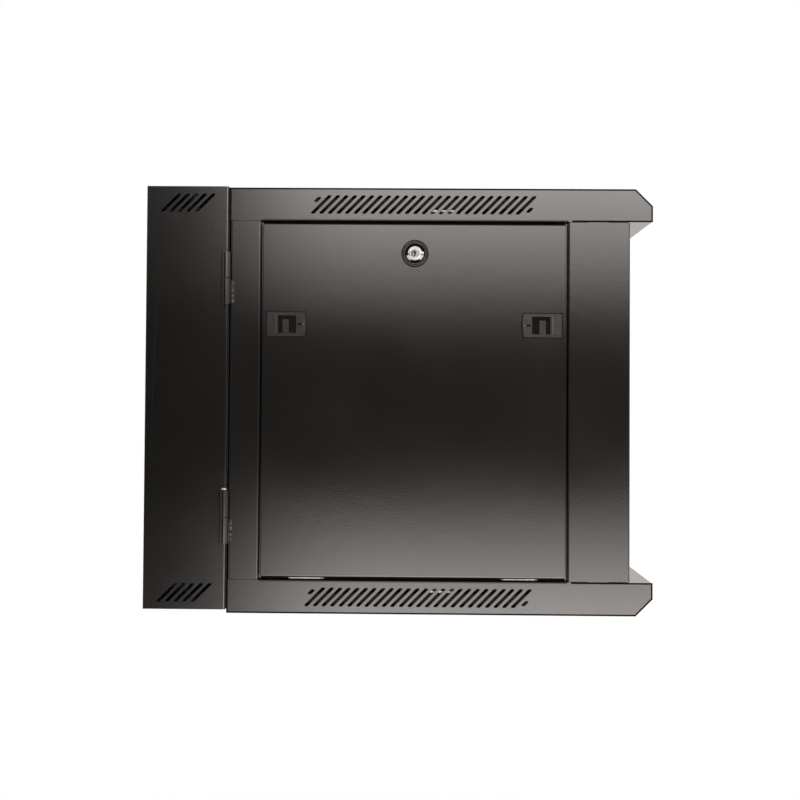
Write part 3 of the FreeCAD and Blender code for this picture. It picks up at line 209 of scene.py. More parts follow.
# ---------------------------------------------------------------- node helpers
def new_material(name):
    """A node material, its tree and its Principled shader."""
    mat = bpy.data.materials.new(name)
    mat.use_nodes = True
    tree = mat.node_tree
    return mat, tree, tree.nodes["Principled BSDF"]


def add(tree, kind, **values):
    """A node with its sockets and properties set by name."""
    node = tree.nodes.new(kind)
    for key, value in values.items():
        if key in node.inputs:
            node.inputs[key].default_value = value
        else:
            setattr(node, key, value)
    return node


def coords(tree, scale=(1, 1, 1)):
    """Object coordinates, stretched by scale."""
    mapping = add(tree, "ShaderNodeMapping", Scale=scale)
    tree.links.new(add(tree, "ShaderNodeTexCoord").outputs["Object"], mapping.inputs["Vector"])
    return mapping.outputs["Vector"]


def noise(tree, vector, scale, detail=2.0, roughness=0.5):
    node = add(tree, "ShaderNodeTexNoise", Scale=scale, Detail=detail, Roughness=roughness)
    tree.links.new(vector, node.inputs["Vector"])
    return node.outputs["Fac"]


def cells(tree, vector, scale):
    """A random grey for each cell of a Voronoi pattern."""
    node = add(tree, "ShaderNodeTexVoronoi", Scale=scale)
    tree.links.new(vector, node.inputs["Vector"])
    split = add(tree, "ShaderNodeSeparateColor")
    tree.links.new(node.outputs["Color"], split.inputs[0])
    return split.outputs[0]


def ramp(tree, factor, low, high, start=0.3, end=0.7):
    """Blends two colours while the factor goes from start to end."""
    node = add(tree, "ShaderNodeValToRGB")
    first, last = node.color_ramp.elements
    first.position, last.position = start, end
    first.color, last.color = (*low, 1.0), (*high, 1.0)
    tree.links.new(factor, node.inputs["Fac"])
    return node.outputs["Color"]


def spread(tree, factor, low, high, start=0.3, end=0.7, smooth=False):
    """Maps start..end to low..high."""
    node = add(tree, "ShaderNodeMapRange", interpolation_type="SMOOTHSTEP" if smooth else "LINEAR")
    for key, value in (("From Min", start), ("From Max", end), ("To Min", low), ("To Max", high)):
        node.inputs[key].default_value = value
    tree.links.new(factor, node.inputs["Value"])
    return node.outputs["Result"]


def maths(tree, operation, a, b):
    node = add(tree, "ShaderNodeMath", operation=operation)
    tree.links.new(a, node.inputs[0])
    tree.links.new(b, node.inputs[1])
    return node.outputs[0]


def bump(tree, height, strength, distance, under=None):
    node = add(tree, "ShaderNodeBump", Strength=strength, Distance=distance)
    tree.links.new(height, node.inputs["Height"])
    if under is not None:
        tree.links.new(under, node.inputs["Normal"])
    return node.outputs["Normal"]


def finish(tree, shader, colour, roughness, normal, **fixed):
    """Links the three varying sockets and sets the constant ones."""
    tree.links.new(colour, shader.inputs["Base Color"])
    tree.links.new(roughness, shader.inputs["Roughness"])
    tree.links.new(normal, shader.inputs["Normal"])
    for key, value in fixed.items():
        shader.inputs[key.replace("_", " ")].default_value = value


# ---------------------------------------------------------------- materials
def powder_coat():
    """Satin black powder coat: faint mottling, orange peel and a fine grain with dust specks."""
    mat, tree, shader = new_material("powder_coat_black")
    at = coords(tree)
    cloud = noise(tree, at, 7.0, 4.0, 0.6)
    specks = noise(tree, at, 1400.0, 1.0)
    tone = maths(tree, "MULTIPLY", spread(tree, cloud, 0.75, 1.0), spread(tree, specks, 1.0, 1.5, 0.72, 0.8))
    colour = ramp(tree, tone, (0.0070, 0.0066, 0.0062), (0.0108, 0.0101, 0.0095), 0.7, 1.3)
    grain = noise(tree, at, 900.0, 2.0)
    worn = spread(tree, noise(tree, at, 11.0, 3.0), 0.0, 0.02)
    rough = maths(tree, "ADD", spread(tree, grain, 0.095, 0.125), worn)
    peel = bump(tree, noise(tree, at, 420.0, 1.0), 0.05, 0.0004)
    peel = bump(tree, noise(tree, at, 60.0, 2.0), 0.02, 0.001, peel)
    finish(tree, shader, colour, rough, peel, IOR=1.65)
    return mat


def weld_coat_glints():
    """The coat over a rough weld: a random tone, lifted far above the coat's black to paint the glints on the
    bead.
    """
    mat, tree, shader = new_material("weld_coat_glints")
    at = coords(tree)
    # flecks up to 0.09 against the coat's 0.01: painted glints
    colour = ramp(tree, noise(tree, at, 700.0, 3.0), (0.015, 0.014, 0.013), (0.09, 0.085, 0.078))
    rough = spread(tree, noise(tree, at, 1500.0, 2.0), 0.12, 0.3)
    finish(tree, shader, colour, rough, bump(tree, noise(tree, at, 1100.0, 3.0), 0.8, 0.0005), IOR=1.65)
    return mat


def painted_edge_shade():
    """Dull near-black strips on the sheet edges: painted shade that draws them as a fine dark line."""
    mat, tree, shader = new_material("painted_edge_shade_black")
    at = coords(tree, (1, 1, 6))
    # near-black colour and a weak specular level: painted shade along the sheet edges
    colour = ramp(tree, noise(tree, at, 300.0, 3.0), (0.003, 0.003, 0.003), (0.008, 0.0075, 0.007))
    rough = spread(tree, noise(tree, at, 900.0, 2.0), 0.55, 0.75)
    finish(tree, shader, colour, rough, bump(tree, noise(tree, at, 800.0, 2.0), 0.3, 0.0002),
           Specular_IOR_Level=0.06)
    return mat


def dull_black(name, colour, specular):
    """Matt black dip coat or fibre-filled plastic, slightly greyed and uneven."""
    mat, tree, shader = new_material(name)
    at = coords(tree)
    dark = tuple(0.6 * c for c in colour)
    shade = ramp(tree, noise(tree, at, 80.0, 4.0), dark, colour)
    rough = spread(tree, noise(tree, at, 400.0, 3.0), 0.5, 0.7)
    finish(tree, shader, shade, rough, bump(tree, noise(tree, at, 900.0, 2.0), 0.3, 0.0003),
           Specular_IOR_Level=specular)
    return mat


def zinc_plate():
    """Bright zinc plate on pressed and turned pieces: soft mottling and fine marks."""
    mat, tree, shader = new_material("zinc_plate")
    at = coords(tree)
    colour = ramp(tree, noise(tree, at, 120.0, 4.0), (0.50, 0.50, 0.47), (0.68, 0.68, 0.66))
    rough = spread(tree, noise(tree, coords(tree, (1, 1, 9)), 500.0, 3.0), 0.22, 0.42)
    finish(tree, shader, colour, rough, bump(tree, noise(tree, at, 700.0, 2.0), 0.25, 0.0003), Metallic=1.0)
    return mat


def galvanised():
    """Zinc coated sheet with spangle and rolling marks along its length."""
    mat, tree, shader = new_material("galvanised_sheet")
    at = coords(tree)
    spangle = cells(tree, at, 160.0)
    colour = ramp(tree, spangle, (0.42, 0.43, 0.44), (0.60, 0.61, 0.62), 0.0, 1.0)
    marks = noise(tree, coords(tree, (60, 60, 1)), 6.0, 3.0)
    rough = maths(tree, "ADD", spread(tree, spangle, 0.26, 0.38, 0.0, 1.0), spread(tree, marks, 0.0, 0.08))
    finish(tree, shader, colour, rough, bump(tree, marks, 0.08, 0.0004), Metallic=1.0)
    return mat


def chrome():
    """Polished plate with hair scratches and handling haze."""
    mat, tree, shader = new_material("chrome_plate")
    at = coords(tree)
    colour = ramp(tree, noise(tree, at, 90.0, 3.0), (0.66, 0.67, 0.68), (0.80, 0.80, 0.80))
    hairs = noise(tree, coords(tree, (3, 40, 3)), 260.0, 3.0)
    rough = spread(tree, hairs, 0.05, 0.16)
    finish(tree, shader, colour, rough, bump(tree, hairs, 0.06, 0.0001), Metallic=1.0)
    return mat


def key_face():
    """Brushed dark nickel of the plug's face, scratched by keys."""
    mat, tree, shader = new_material("key_face_nickel")
    at = coords(tree)
    colour = ramp(tree, noise(tree, at, 420.0, 3.0), (0.12, 0.118, 0.115), (0.34, 0.335, 0.328))
    rough = spread(tree, noise(tree, coords(tree, (1, 12, 1)), 400.0, 3.0), 0.2, 0.4)
    finish(tree, shader, colour, rough, bump(tree, noise(tree, at, 900.0, 3.0), 0.5, 0.0003), Metallic=1.0)
    return mat


def plastic():
    """Moulded black plastic with a fine spark-eroded grain."""
    mat, tree, shader = new_material("black_plastic")
    at = coords(tree)
    colour = ramp(tree, noise(tree, at, 90.0, 3.0), (0.0075, 0.0075, 0.0072), (0.0115, 0.0112, 0.0108))
    rough = spread(tree, noise(tree, at, 500.0, 2.0), 0.17, 0.24)
    grain = noise(tree, at, 1800.0, 2.0)
    finish(tree, shader, colour, rough, bump(tree, grain, 0.25, 0.0002), IOR=1.5)
    return mat


def rubber():
    """Foam and rubber strips: dull, slightly greyed and porous."""
    mat, tree, shader = new_material("black_rubber")
    at = coords(tree)
    colour = ramp(tree, noise(tree, at, 260.0, 4.0), (0.008, 0.008, 0.008), (0.018, 0.018, 0.018))
    rough = spread(tree, noise(tree, at, 900.0, 2.0), 0.7, 0.9)
    pores = cells(tree, at, 1300.0)
    finish(tree, shader, colour, rough, bump(tree, pores, 0.35, 0.0003), Specular_IOR_Level=0.2)
    return mat


def glass():
    """Grey tinted toughened glass with a trace of dust and roller wave."""
    mat, tree, shader = new_material("tinted_glass")
    at = coords(tree)
    colour = ramp(tree, noise(tree, at, 5.0), (0.30, 0.31, 0.32), (0.33, 0.34, 0.35))
    rough = spread(tree, noise(tree, at, 38.0, 4.0), 0.0, 0.035)
    wave = bump(tree, noise(tree, coords(tree, (1, 1, 0.2)), 14.0), 0.01, 0.002)
    finish(tree, shader, colour, rough, wave, Transmission_Weight=1.0, IOR=1.5)
    return mat


looks = {"body_paint": powder_coat(), "zinc_plate": zinc_plate(), "rack_zinc": galvanised(),
         "chrome_plate": chrome(), "black_plastic": plastic(), "tinted_glass": glass(),
         "black_rubber": rubber(), "black_primer": dull_black("black_primer", (0.009, 0.009, 0.0085), 0.12)}
bezel_look = dull_black("bezel_black", (0.0045, 0.0044, 0.0042), 0.035)
weld_glint_look = weld_coat_glints()
edge_shade_look = painted_edge_shade()
face_look = key_face()
# dull black of the washers, latch pads and bezel rims that paint shade and shadow
shade_black_look = dull_black("painted_shade_black", (0.0110, 0.0107, 0.0102), 0.03)


def dress_cad():
    """Gives each CAD node the finish of its slot, and lock bodies and lugs a duller black."""
    for part in frame["record"]["subparts"]:
        mesh = nodes[part["node"]].data
        mesh.materials.clear()
        mesh.materials.append(looks[part["material_slot"]])
    for name in LOCKS:
        nodes[name + "_body"].data.materials[0] = bezel_look
    nodes["panel_lugs"].data.materials[0] = looks["black_primer"]


# ---------------------------------------------------------------- mesh helpers
def piece(name, bm, look, body, sharp=35):
    """Makes an object of a bmesh, smooth up to the sharp angle, and lets it ride on a body."""
    bmesh.ops.recalc_face_normals(bm, faces=bm.faces)
    mesh = bpy.data.meshes.new(name)
    bm.to_mesh(mesh)
    bm.free()
    mesh.shade_smooth()
    mesh.set_sharp_from_angle(angle=math.radians(sharp))
    mesh.materials.append(look)
    obj = bpy.data.objects.new(name, mesh)
    bpy.context.scene.collection.objects.link(obj)
    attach(obj, body)
    return obj


def facing(centre, outward):
    """Takes local +Z to outward and keeps local +Y upright."""
    z = Vector(outward)
    y = Vector((0, 0, 1))
    return Matrix.Translation(centre) @ Matrix((y.cross(z), y, z)).transposed().to_4x4()


def ring(radius, height, steps=ROUND_STEPS):
    turns = [2 * math.pi * n / steps for n in range(steps)]
    return [Vector((radius * math.cos(a), radius * math.sin(a), height)) for a in turns]


def stadium(half_length, half_width, height, steps=ROUND_STEPS):
    """A slot outline with as many points as a ring, upright along local Y."""
    points = []
    for n in range(steps):
        a = 2 * math.pi * n / steps
        end = math.copysign(half_length - half_width, math.sin(a))
        points.append(Vector((half_width * math.cos(a), end + half_width * math.sin(a), height)))
    return points


def bridged(loops, place=Matrix(), closed=False, caps=(False, False)):
    """A skin through loops of equally many points; closed joins the last loop to the first."""
    bm = bmesh.new()
    rows = [[bm.verts.new(place @ p) for p in loop] for loop in loops]
    pairs = list(zip(rows, rows[1:]))
    if closed:
        pairs.append((rows[-1], rows[0]))
    count = len(rows[0])
    for a, b in pairs:
        for n in range(count):
            m = (n + 1) % count
            bm.faces.new((a[n], a[m], b[m], b[n]))
    for wanted, row in zip(caps, (rows[0], rows[-1])):
        if wanted:
            bm.faces.new(row)
    return bm


def merged(parts):
    """One bmesh of several."""
    whole = bmesh.new()
    for part in parts:
        mesh = bpy.data.meshes.new("part")
        part.to_mesh(mesh)
        part.free()
        whole.from_mesh(mesh)
        bpy.data.meshes.remove(mesh)
    return whole


# ---------------------------------------------------------------- welds
def weld_bead(start, end, radius, seed):
    """A rippled bead with uneven flanks and rounded ends along a straight seam."""
    chance = random.Random(seed)
    start, end = Vector(start), Vector(end)
    along = (end - start).normalized()
    side = along.orthogonal().normalized()
    other = along.cross(side)
    steps = round((end - start).length / BEAD_STEP)
    growth, least = BEAD_END
    loops = []
    for n in range(steps + 1):
        t = n / steps
        taper = min(1.0, growth * t + least, growth * (1 - t) + least) ** 0.5
        ripple = 1 + BEAD_RIPPLE * math.sin(2 * math.pi * n * BEAD_STEP / BEAD_PITCH)
        phase = n * BEAD_STEP / BEAD_LUMP
        lump = 1 + BEAD_SWELL * math.sin(seed + phase) * math.sin(phase * BEAD_BEAT)
        size = radius * taper * ripple * lump * chance.uniform(*BEAD_SIZES)
        centre = start.lerp(end, t) + side * chance.uniform(-BEAD_WANDER, BEAD_WANDER) * radius
        loop = []
        for k in range(BEAD_SIDES):
            a = 2 * math.pi * k / BEAD_SIDES
            r = size * chance.uniform(*BEAD_FLANKS)
            loop.append(centre + side * (r * math.cos(a)) + other * (r * math.sin(a)))
        loops.append(loop)
    return bridged(loops, caps=(True, True))


def hinge_welds():
    """Beads that hold the lower knuckles to the rear post."""
    low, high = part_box("body_hinge_knuckles")
    face_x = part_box("rear_post_left")[0].x
    at_y = low.y - HINGE_BEAD_OUT * HINGE_BEAD_R
    beads = []
    for seed, bottom in enumerate((low.z, high.z - KNUCKLE)):
        start = (face_x, at_y, bottom + HINGE_BEAD_INSET)
        end = (face_x, at_y, bottom + KNUCKLE - HINGE_BEAD_INSET)
        beads.append(weld_bead(start, end, HINGE_BEAD_R, seed))
    piece("hinge_weld_beads", merged(beads), weld_glint_look, "cabinet_body", sharp=80)


def hinge_axis(z):
    """A frame on the hinge axis at a height."""
    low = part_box("wall_hinge_knuckles")[0]
    pins_low, pins_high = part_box("hinge_pins")
    return Matrix.Translation((low.x + BARREL_R, (pins_low.y + pins_high.y) / 2, z))


def hinge_washers():
    """Washers in the gaps between the knuckles, in a dull black that paints the shade of the seam."""
    low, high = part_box("wall_hinge_knuckles")
    lift, share = WASHER_PLAY
    loops = [ring(r, lift + share * (h * WASHER)) for r, h in WASHER_SECTION]
    washers = [bridged(loops, hinge_axis(top - WASHER), closed=True) for top in (low.z, high.z - KNUCKLE)]
    piece("hinge_washers", merged(washers), shade_black_look, "wall_section")


def pin_glint_cap():
    """A bare zinc cap on the lower hinge's pin head only, which stands in for the glint on that head: a
    painted highlight.
    """
    place = hinge_axis(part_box("wall_hinge_knuckles")[0].z + KNUCKLE)
    cap = bridged([ring(r, h) for r, h in PIN_GLINT_CAP], place, caps=(True, True))
    piece("hinge_pin_cap", cap, looks["zinc_plate"], "wall_section", sharp=60)


def lug_welds():
    """Rough beads on the edges of the lugs under both side panels."""
    low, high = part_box("panel_lugs")
    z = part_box("side_panel_left")[0].z - LUG_BEAD_DOWN
    places = [(x, y) for x in (low.x, high.x) for y in (low.y + LUG_MIDDLE, high.y - LUG_MIDDLE)]
    beads = []
    for seed, (x, y) in enumerate(places, LUG_SEED):
        beads.append(weld_bead((x, y - LUG_BEAD_REACH, z), (x, y + LUG_BEAD_REACH, z), LUG_BEAD_R, seed))
    piece("lug_weld_beads", merged(beads), looks["zinc_plate"], "cabinet_body", sharp=80)


# ---------------------------------------------------------------- locks
def lock_place(name, outward):
    """The frame of a lock's face: its axis through the sheet's outer face."""
    low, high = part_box(name + "_body")
    middle = (low + high) / 2
    far = Vector((high[n] if outward[n] > 0 else low[n]) * abs(outward[n]) for n in range(3))
    across = Vector(middle[n] * (1 - abs(outward[n])) for n in range(3))
    return facing(far + across - Vector(outward) * BEZEL, outward)


def trim_rings(place):
    """Fine raised rings on the bezel."""
    rings = []
    for radius, height in TRIM_RINGS:
        loops = []
        for n in range(TRIM_RING_SIDES):
            a = 2 * math.pi * n / TRIM_RING_SIDES
            loops.append(ring(radius + TRIM_RING_R * math.cos(a), height + TRIM_RING_R * math.sin(a)))
        rings.append(bridged(loops, place, closed=True))
    return merged(rings)


def shoulder(place, start, end):
    """A chrome arc of the lock's housing beside the plug, with bevelled edges, kept to where the housing's
    highlight falls so that it stands in for it.
    """
    loops = []
    for n in range(SHOULDER_STEPS + 1):
        a = math.radians(start + (end - start) * n / SHOULDER_STEPS)
        loops.append([Vector((r * math.cos(a), r * math.sin(a), h)) for r, h in SHOULDER_SECTION])
    return bridged(loops, place, caps=(True, True))


def plug_cap(place):
    """The plug's domed rim round its face."""
    return bridged([ring(r, h) for r, h in CAP_SECTION], place, closed=True)


def plug_face(place):
    """The plug's face, slightly stepped, with a key slot sunk in it."""
    length, width = KEY_SLOT
    loops = [stadium(length + grown, width + grown, h) for grown, h in KEY_SLOT_RIM]
    loops += [ring(r, h) for r, h in FACE_RINGS]
    return bridged(loops, place, caps=(True, True))


def keyway_shade(place):
    """A dull black fill in the plug's key slot, with two short side arms, which paints the shade inside the
    slot.
    """
    length, width = KEY_SLOT
    bottom, top = KEY_SHADE_FILL
    bars = [bridged([stadium(length, width, h) for h in (bottom, top)], place, caps=(True, True))]
    for angle in KEY_ARMS:
        turn = Matrix.Rotation(math.radians(angle - 90), 4, "Z") @ Matrix.Translation((0, KEY_ARM / 2, 0))
        loops = [stadium(KEY_ARM / 2 + width, width, h) for h in (bottom, KEY_ARM_TOP)]
        bars.append(bridged(loops, place @ turn, caps=(True, True)))
    return merged(bars)


def lock_trims():
    """Rings and chrome arcs that stand in for the highlight on each lock's housing; cap, face and a dull
    black fill that paints the key slot's shade on its turning plug.
    """
    for name, (carrier, outward) in LOCKS.items():
        place = lock_place(name, outward)
        piece(name + "_rings", trim_rings(place), face_look, carrier)
        arcs = merged([shoulder(place, start, end) for start, end in SHOULDER_HIGHLIGHT_ARCS])
        piece(name + "_shoulders", arcs, looks["chrome_plate"], carrier)
        piece(name + "_cap", plug_cap(place), looks["chrome_plate"], name)
        piece(name + "_face", plug_face(place), face_look, name)
        piece(name + "_keyway", keyway_shade(place), bezel_look, name)


# ---------------------------------------------------------------- sheet edges
def edge_strip(path, width, x, out):
    """A flat strip with bevelled flanks along a line in the YZ plane, raised from the plane x."""
    bm = bmesh.new()
    rows = []
    for n, (y, z) in enumerate(path):
        before = Vector(path[max(n - 1, 0)])
        after = Vector(path[min(n + 1, len(path) - 1)])
        here = Vector((y, z))
        first = (here - before).normalized() if n else (after - here).normalized()
        second = (after - here).normalized() if n < len(path) - 1 else first
        normal_a, normal_b = Vector((-first.y, first.x)), Vector((-second.y, second.x))
        miter = (normal_a + normal_b) / (1 + normal_a.dot(normal_b))
        row = []
        for across, rise in EDGE_SECTION:
            at = here + miter * (across * width)
            row.append(bm.verts.new((x + out * rise * EDGE_RISE, at.x, at.y)))
        rows.append(row)
    for a, b in zip(rows, rows[1:]):
        for n in range(len(EDGE_SECTION) - 1):
            bm.faces.new((a[n], a[n + 1], b[n + 1], b[n]))
    return bm


def sheet_edges():
    """The cut edges of the roof's and the floor's sheet, drawn with dull dark strips of painted shade, which
    show as a fine dark line on both sides.
    """
    for name, sign in (("roof_panel", 1), ("floor_panel", -1)):
        low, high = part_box(name)
        tip = high.z if sign > 0 else low.z
        foot = tip - sign * RIM
        path = [(high.y, foot), (high.y, tip), (low.y + NOSE, tip), (low.y, tip - sign * NOSE),
                (low.y, foot), (low.y + REACH, foot)]
        strips = [edge_strip(path, sign * EDGE_WIDTH, x, out) for x, out in ((low.x, -1), (high.x, 1))]
        piece(name + "_edges", merged(strips), edge_shade_look, "cabinet_body", sharp=80)


def panel_folds():
    """The flattened fold along the lower edge of both side panels, which catches the light."""
    for side, out in (("left", -1), ("right", 1)):
        low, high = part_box("side_panel_" + side)
        face = low.x if out < 0 else high.x
        loops = [[Vector((face + out * rise, y, low.z + up)) for rise, up in FOLD]
                 for y in (low.y + FOLD_END, high.y - FOLD_END)]
        piece("panel_fold_" + side, bridged(loops, caps=(True, True)), looks["body_paint"],
              "side_panel_" + side, sharp=20)


def gap_dark_strips():
    """Black strips on the lips behind the upper and lower gaps of both side panels, which keep the gaps dark.
    """
    for side, out in (("left", -1), ("right", 1)):
        low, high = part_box("side_panel_" + side)
        lip_x = (low.x if out < 0 else high.x) - out * (high.x - low.x + LIP_BEHIND)
        gaps = ((high.z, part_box("roof_rail_" + side)[0].z + LIP_DEPTH, 1),
                (low.z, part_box("floor_rail_" + side)[1].z - LIP_DEPTH, -1))
        strips = []
        for edge, rail, sign in gaps:
            near, far = edge + sign * GAP_STRIP_FREE, rail - sign * GAP_STRIP_FREE
            slope = GAP_STRIP_FLANK * (far - near)
            section = [(0, near), (GAP_STRIP_SHOULDER, near), (1, near + slope), (1, far - slope),
                       (GAP_STRIP_SHOULDER, far), (0, far)]
            loops = [[Vector((lip_x + out * GAP_STRIP * h, y, z)) for h, z in section] for y in (low.y, high.y)]
            strips.append(bridged(loops, caps=(True, True)))
        piece("panel_gap_strips_" + side, merged(strips), looks["black_rubber"],
              "cabinet_body", sharp=50)


# ---------------------------------------------------------------- latches
def upright_rib(face, out, y_edges, z_ends, rises, lean):
    """A rib with slanted flanks and ends that stands on a face across X, between two rises."""
    near, far = y_edges
    slant = (far - near) * lean
    section = [(0, near), (1, near + slant), (1, far - slant), (0, far)]
    low, high = z_ends
    low_rise, high_rise = rises
    ends = ((low, 0.0), (low + low_rise, low_rise), (high - high_rise, high_rise), (high, 0.0))
    loops = [[Vector((face + out * (rise * h - RIB_SINK), y, z)) for h, y in section] for z, rise in ends]
    return bridged(loops, caps=(True, True))


def latch_shadow_rim(face, out, edge_y, inward, z_ends):
    """A dark rim round the foot of a latch bezel, which paints its shadow on the panel."""
    near = edge_y - inward * SHADOW_RIM_EDGE
    tip = edge_y + inward * (BEZEL_LENGTH + SHADOW_RIM_EDGE)
    corner = tip - inward * TAPER
    bottom, top = z_ends[0] - SHADOW_RIM_EDGE, z_ends[1] + SHADOW_RIM_EDGE
    outline = [(near, bottom), (corner, bottom), (tip, sum(z_ends) / 2), (corner, top), (near, top)]
    loops = [[Vector((face + out * rise, y, z)) for y, z in outline] for rise in (0, SHADOW_RIM)]
    return bridged(loops, caps=(True, True))


def shade_pad(face, out, edge_y, inward, at, middle, half):
    """A thin pad on a face across X, between two places along Y; the latches lay it in dull black to paint
    shade.
    """
    edges = [edge_y + inward * d for d in at]
    return upright_rib(face, out, edges, (middle - half, middle + half), (SHADE_PAD, SHADE_PAD), SHADE_PAD_LEAN)


def pad_ribs(slider, out, edge_y, inward, middle):
    """Grip ribs on a slider's finger pad."""
    low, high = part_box(slider)
    pad_x = low.x if out < 0 else high.x
    ribs = []
    for n in range(RIB_COUNT):
        y = edge_y + inward * PAD_AT + (n - (RIB_COUNT - 1) / 2) * RIB_PITCH
        ends = [middle + end for end in RIB_ENDS]
        ribs.append(upright_rib(pad_x, out, (y - RIB_HALF, y + RIB_HALF), ends, (RIB, RIB), RIB_LEAN))
    return merged(ribs)


def latch_details():
    """A ridge, a rivet, dull black pads that paint the shade in the window and the slit, and a dark rim that
    paints the bezel's shadow on each latch, and grip ribs on its finger pad.
    """
    for side, out in (("left", -1), ("right", 1)):
        low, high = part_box("latch_housings_" + side)
        bezel_x, cover_x = (low.x, high.x) if out < 0 else (high.x, low.x)
        middle = (low.z + high.z) / 2
        ridges, rivets, shade_pads = [], [], []
        for end, edge_y, inward in (("rear", high.y, -1), ("front", low.y, 1)):
            edges = [edge_y + inward * d for d in RIDGE_AT]
            ridges.append(upright_rib(bezel_x, out, edges, (low.z + RIDGE_END, high.z - RIDGE_END),
                                      RIDGE, RIDGE_LEAN))
            # dull black pads paint the shade in the slit and the window; the rim round the bezel's foot
            # paints its shadow
            shade_pads.append(shade_pad(bezel_x, out, edge_y, inward, SLIT_AT, middle, SLIT_HALF))
            shade_pads.append(latch_shadow_rim(bezel_x - out * BEZEL_RISE, out, edge_y, inward, (low.z, high.z)))
            shade_pads.append(shade_pad(cover_x + out * COVER, out, edge_y, inward, WINDOW_AT, middle, WINDOW_HALF))
            place = facing((bezel_x, edge_y + inward * RIVET_AT, middle), (out, 0, 0))
            dome = [ring(share * RIVET_R, h, RIVET_SIDES) for share, h in RIVET_DOME]
            rivets.append(bridged(dome, place, caps=(True, True)))
            slider = "latch_slider_%s_%s" % (side, end)
            piece(slider + "_ribs", pad_ribs(slider, out, edge_y, inward, middle), looks["black_plastic"],
                  "latch_%s_%s" % (side, end), sharp=20)
        body = "side_panel_" + side
        piece("latch_ridges_" + side, merged(ridges), looks["black_plastic"], body, sharp=20)
        piece("latch_rivets_" + side, merged(rivets), looks["chrome_plate"], body)
        piece("latch_shade_pads_" + side, merged(shade_pads), shade_black_look, body, sharp=20)


# ---------------------------------------------------------------- stage
def seen_directly(tree):
    """1 for camera, glossy and transmission rays, 0 for light."""
    path = add(tree, "ShaderNodeLightPath")
    seen = maths(tree, "MAXIMUM", path.outputs["Is Camera Ray"], path.outputs["Is Glossy Ray"])
    return maths(tree, "MAXIMUM", seen, path.outputs["Is Transmission Ray"])


def world():
    """White behind the object and in its reflections, soft grey as light."""
    scene_world = bpy.data.worlds.new("studio")
    bpy.context.scene.world = scene_world
    scene_world.use_nodes = True
    tree = scene_world.node_tree
    background = tree.nodes["Background"]
    background.inputs["Color"].default_value = (1, 1, 1, 1)
    strength = spread(tree, seen_directly(tree), WORLD_LIGHT, 1.0, 0.0, 1.0)
    tree.links.new(strength, background.inputs["Strength"])


def floor():
    """A pale floor that keeps the shadow and fades to the white background far out."""
    bpy.ops.mesh.primitive_circle_add(vertices=FLOOR_SIDES, radius=FLOOR_R, fill_type="NGON",
                                      location=(0, FLOOR_Y, FLOOR_Z))
    disc = bpy.context.object
    disc.name = "floor"
    mat, tree, shader = new_material("floor")
    shader.inputs["Base Color"].default_value = FLOOR_COLOUR
    shader.inputs["Roughness"].default_value = 0.9
    shader.inputs["Specular IOR Level"].default_value = 0.0
    length = add(tree, "ShaderNodeVectorMath", operation="LENGTH")
    tree.links.new(coords(tree), length.inputs[0])
    far = spread(tree, length.outputs["Value"], 0.0, 1.0, *FLOOR_FADE)
    mix = add(tree, "ShaderNodeMixShader")
    tree.links.new(maths(tree, "MULTIPLY", far, seen_directly(tree)), mix.inputs["Fac"])
    tree.links.new(shader.outputs[0], mix.inputs[1])
    tree.links.new(add(tree, "ShaderNodeEmission").outputs[0], mix.inputs[2])
    tree.links.new(mix.outputs[0], tree.nodes["Material Output"].inputs["Surface"])
    disc.data.materials.append(mat)


def wall_light(name, sides, levels, full_half):
    """The emission of a light wall: dark in its band and at its ends, full at full_half."""
    mat, tree, shader = new_material(name)
    tree.nodes.remove(shader)
    place = add(tree, "ShaderNodeSeparateXYZ")
    tree.links.new(coords(tree), place.inputs[0])
    height = add(tree, "ShaderNodeMath", operation="ABSOLUTE")
    tree.links.new(place.outputs["Z"], height.inputs[0])
    rise = spread(tree, height.outputs[0], *levels, DARK_HALF, full_half)
    fade = spread(tree, height.outputs[0], 1.0, 1.0 / levels[1], *WALL_FADE, smooth=True)
    rise = maths(tree, "MULTIPLY", rise, fade)
    near = spread(tree, place.outputs["Y"], WALL_EDGE[0], 1.0, *sides[:2], smooth=True)
    side = maths(tree, "MULTIPLY", near, spread(tree, place.outputs["Y"], 1.0, WALL_EDGE[1], *sides[2:]))
    emission = add(tree, "ShaderNodeEmission", Color=WALL_COLOUR)
    tree.links.new(maths(tree, "MULTIPLY", rise, side), emission.inputs["Strength"])
    tree.links.new(emission.outputs[0], tree.nodes["Material Output"].inputs["Surface"])
    return mat


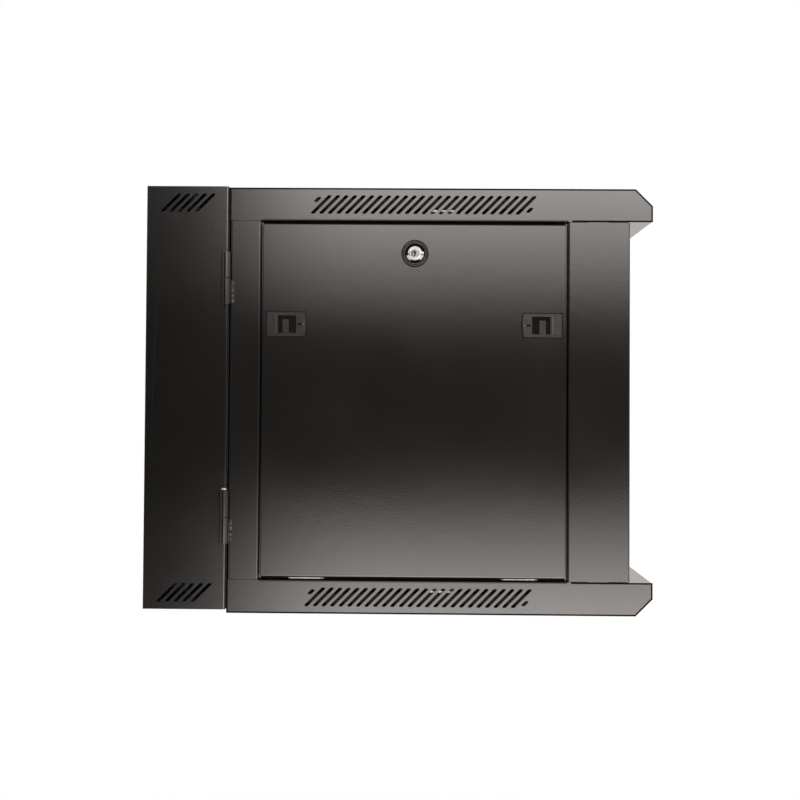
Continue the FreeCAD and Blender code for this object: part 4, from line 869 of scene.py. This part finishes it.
def light_wall(name, centre, turn, sides, levels, full_half):
    """A long soft light facing its local +X, with a dark band at the object's height.

    Along local Y its light falls softly to its edge level from the second to the first of sides,
    and from the third to the fourth. Upwards and downwards it goes from the first of levels, in
    the band, to the second at full_half, and falls back towards the white of the world.
    """
    bm = bmesh.new()
    low, high, half = FLOOR_Z + WALL_OFF_FLOOR - centre[2], WALL_HEAD, WALL_HALF_WIDTH
    corners = [(0, -half, low), (0, half, low), (0, half, high), (0, -half, high)]
    bm.faces.new([bm.verts.new(c) for c in corners])
    mesh = bpy.data.meshes.new(name)
    bm.to_mesh(mesh)
    bm.free()
    wall = bpy.data.objects.new(name, mesh)
    bpy.context.scene.collection.objects.link(wall)
    wall.location = centre
    wall.rotation_euler = (0, 0, math.radians(turn))
    mesh.materials.append(wall_light(name, sides, levels, full_half))
    wall.visible_camera = False
    wall.visible_transmission = False
    wall.visible_shadow = False


def camera():
    data = bpy.data.cameras.new("camera")
    data.lens = CAMERA_LENS
    data.sensor_width = CAMERA_SENSOR
    data.clip_end = CAMERA_FAR
    data.shift_x, data.shift_y = CAMERA_SHIFT
    eye = bpy.data.objects.new("camera", data)
    bpy.context.scene.collection.objects.link(eye)
    yaw, pitch, roll = (math.radians(a) for a in (CAMERA_YAW, CAMERA_PITCH, CAMERA_ROLL))
    forward = Vector((math.cos(pitch) * math.cos(yaw), math.cos(pitch) * math.sin(yaw), math.sin(pitch)))
    right = forward.cross(Vector((0, 0, 1))).normalized()
    up = right.cross(forward)
    turned_right = right * math.cos(roll) + up * math.sin(roll)
    turned_up = turned_right.cross(forward)
    axes = Matrix((turned_right, turned_up, -forward)).transposed()
    eye.matrix_world = Matrix.Translation(CAMERA_AT) @ axes.to_4x4()
    bpy.context.scene.camera = eye


# ---------------------------------------------------------------- build
dress_cad()
hinge_welds()
hinge_washers()
pin_glint_cap()
lug_welds()
lock_trims()
sheet_edges()
panel_folds()
gap_dark_strips()
latch_details()

world()
floor()
camera()
for name, values in LIGHT_WALLS.items():
    light_wall(name, *values)

bpy.context.scene.view_settings.view_transform = "Standard"
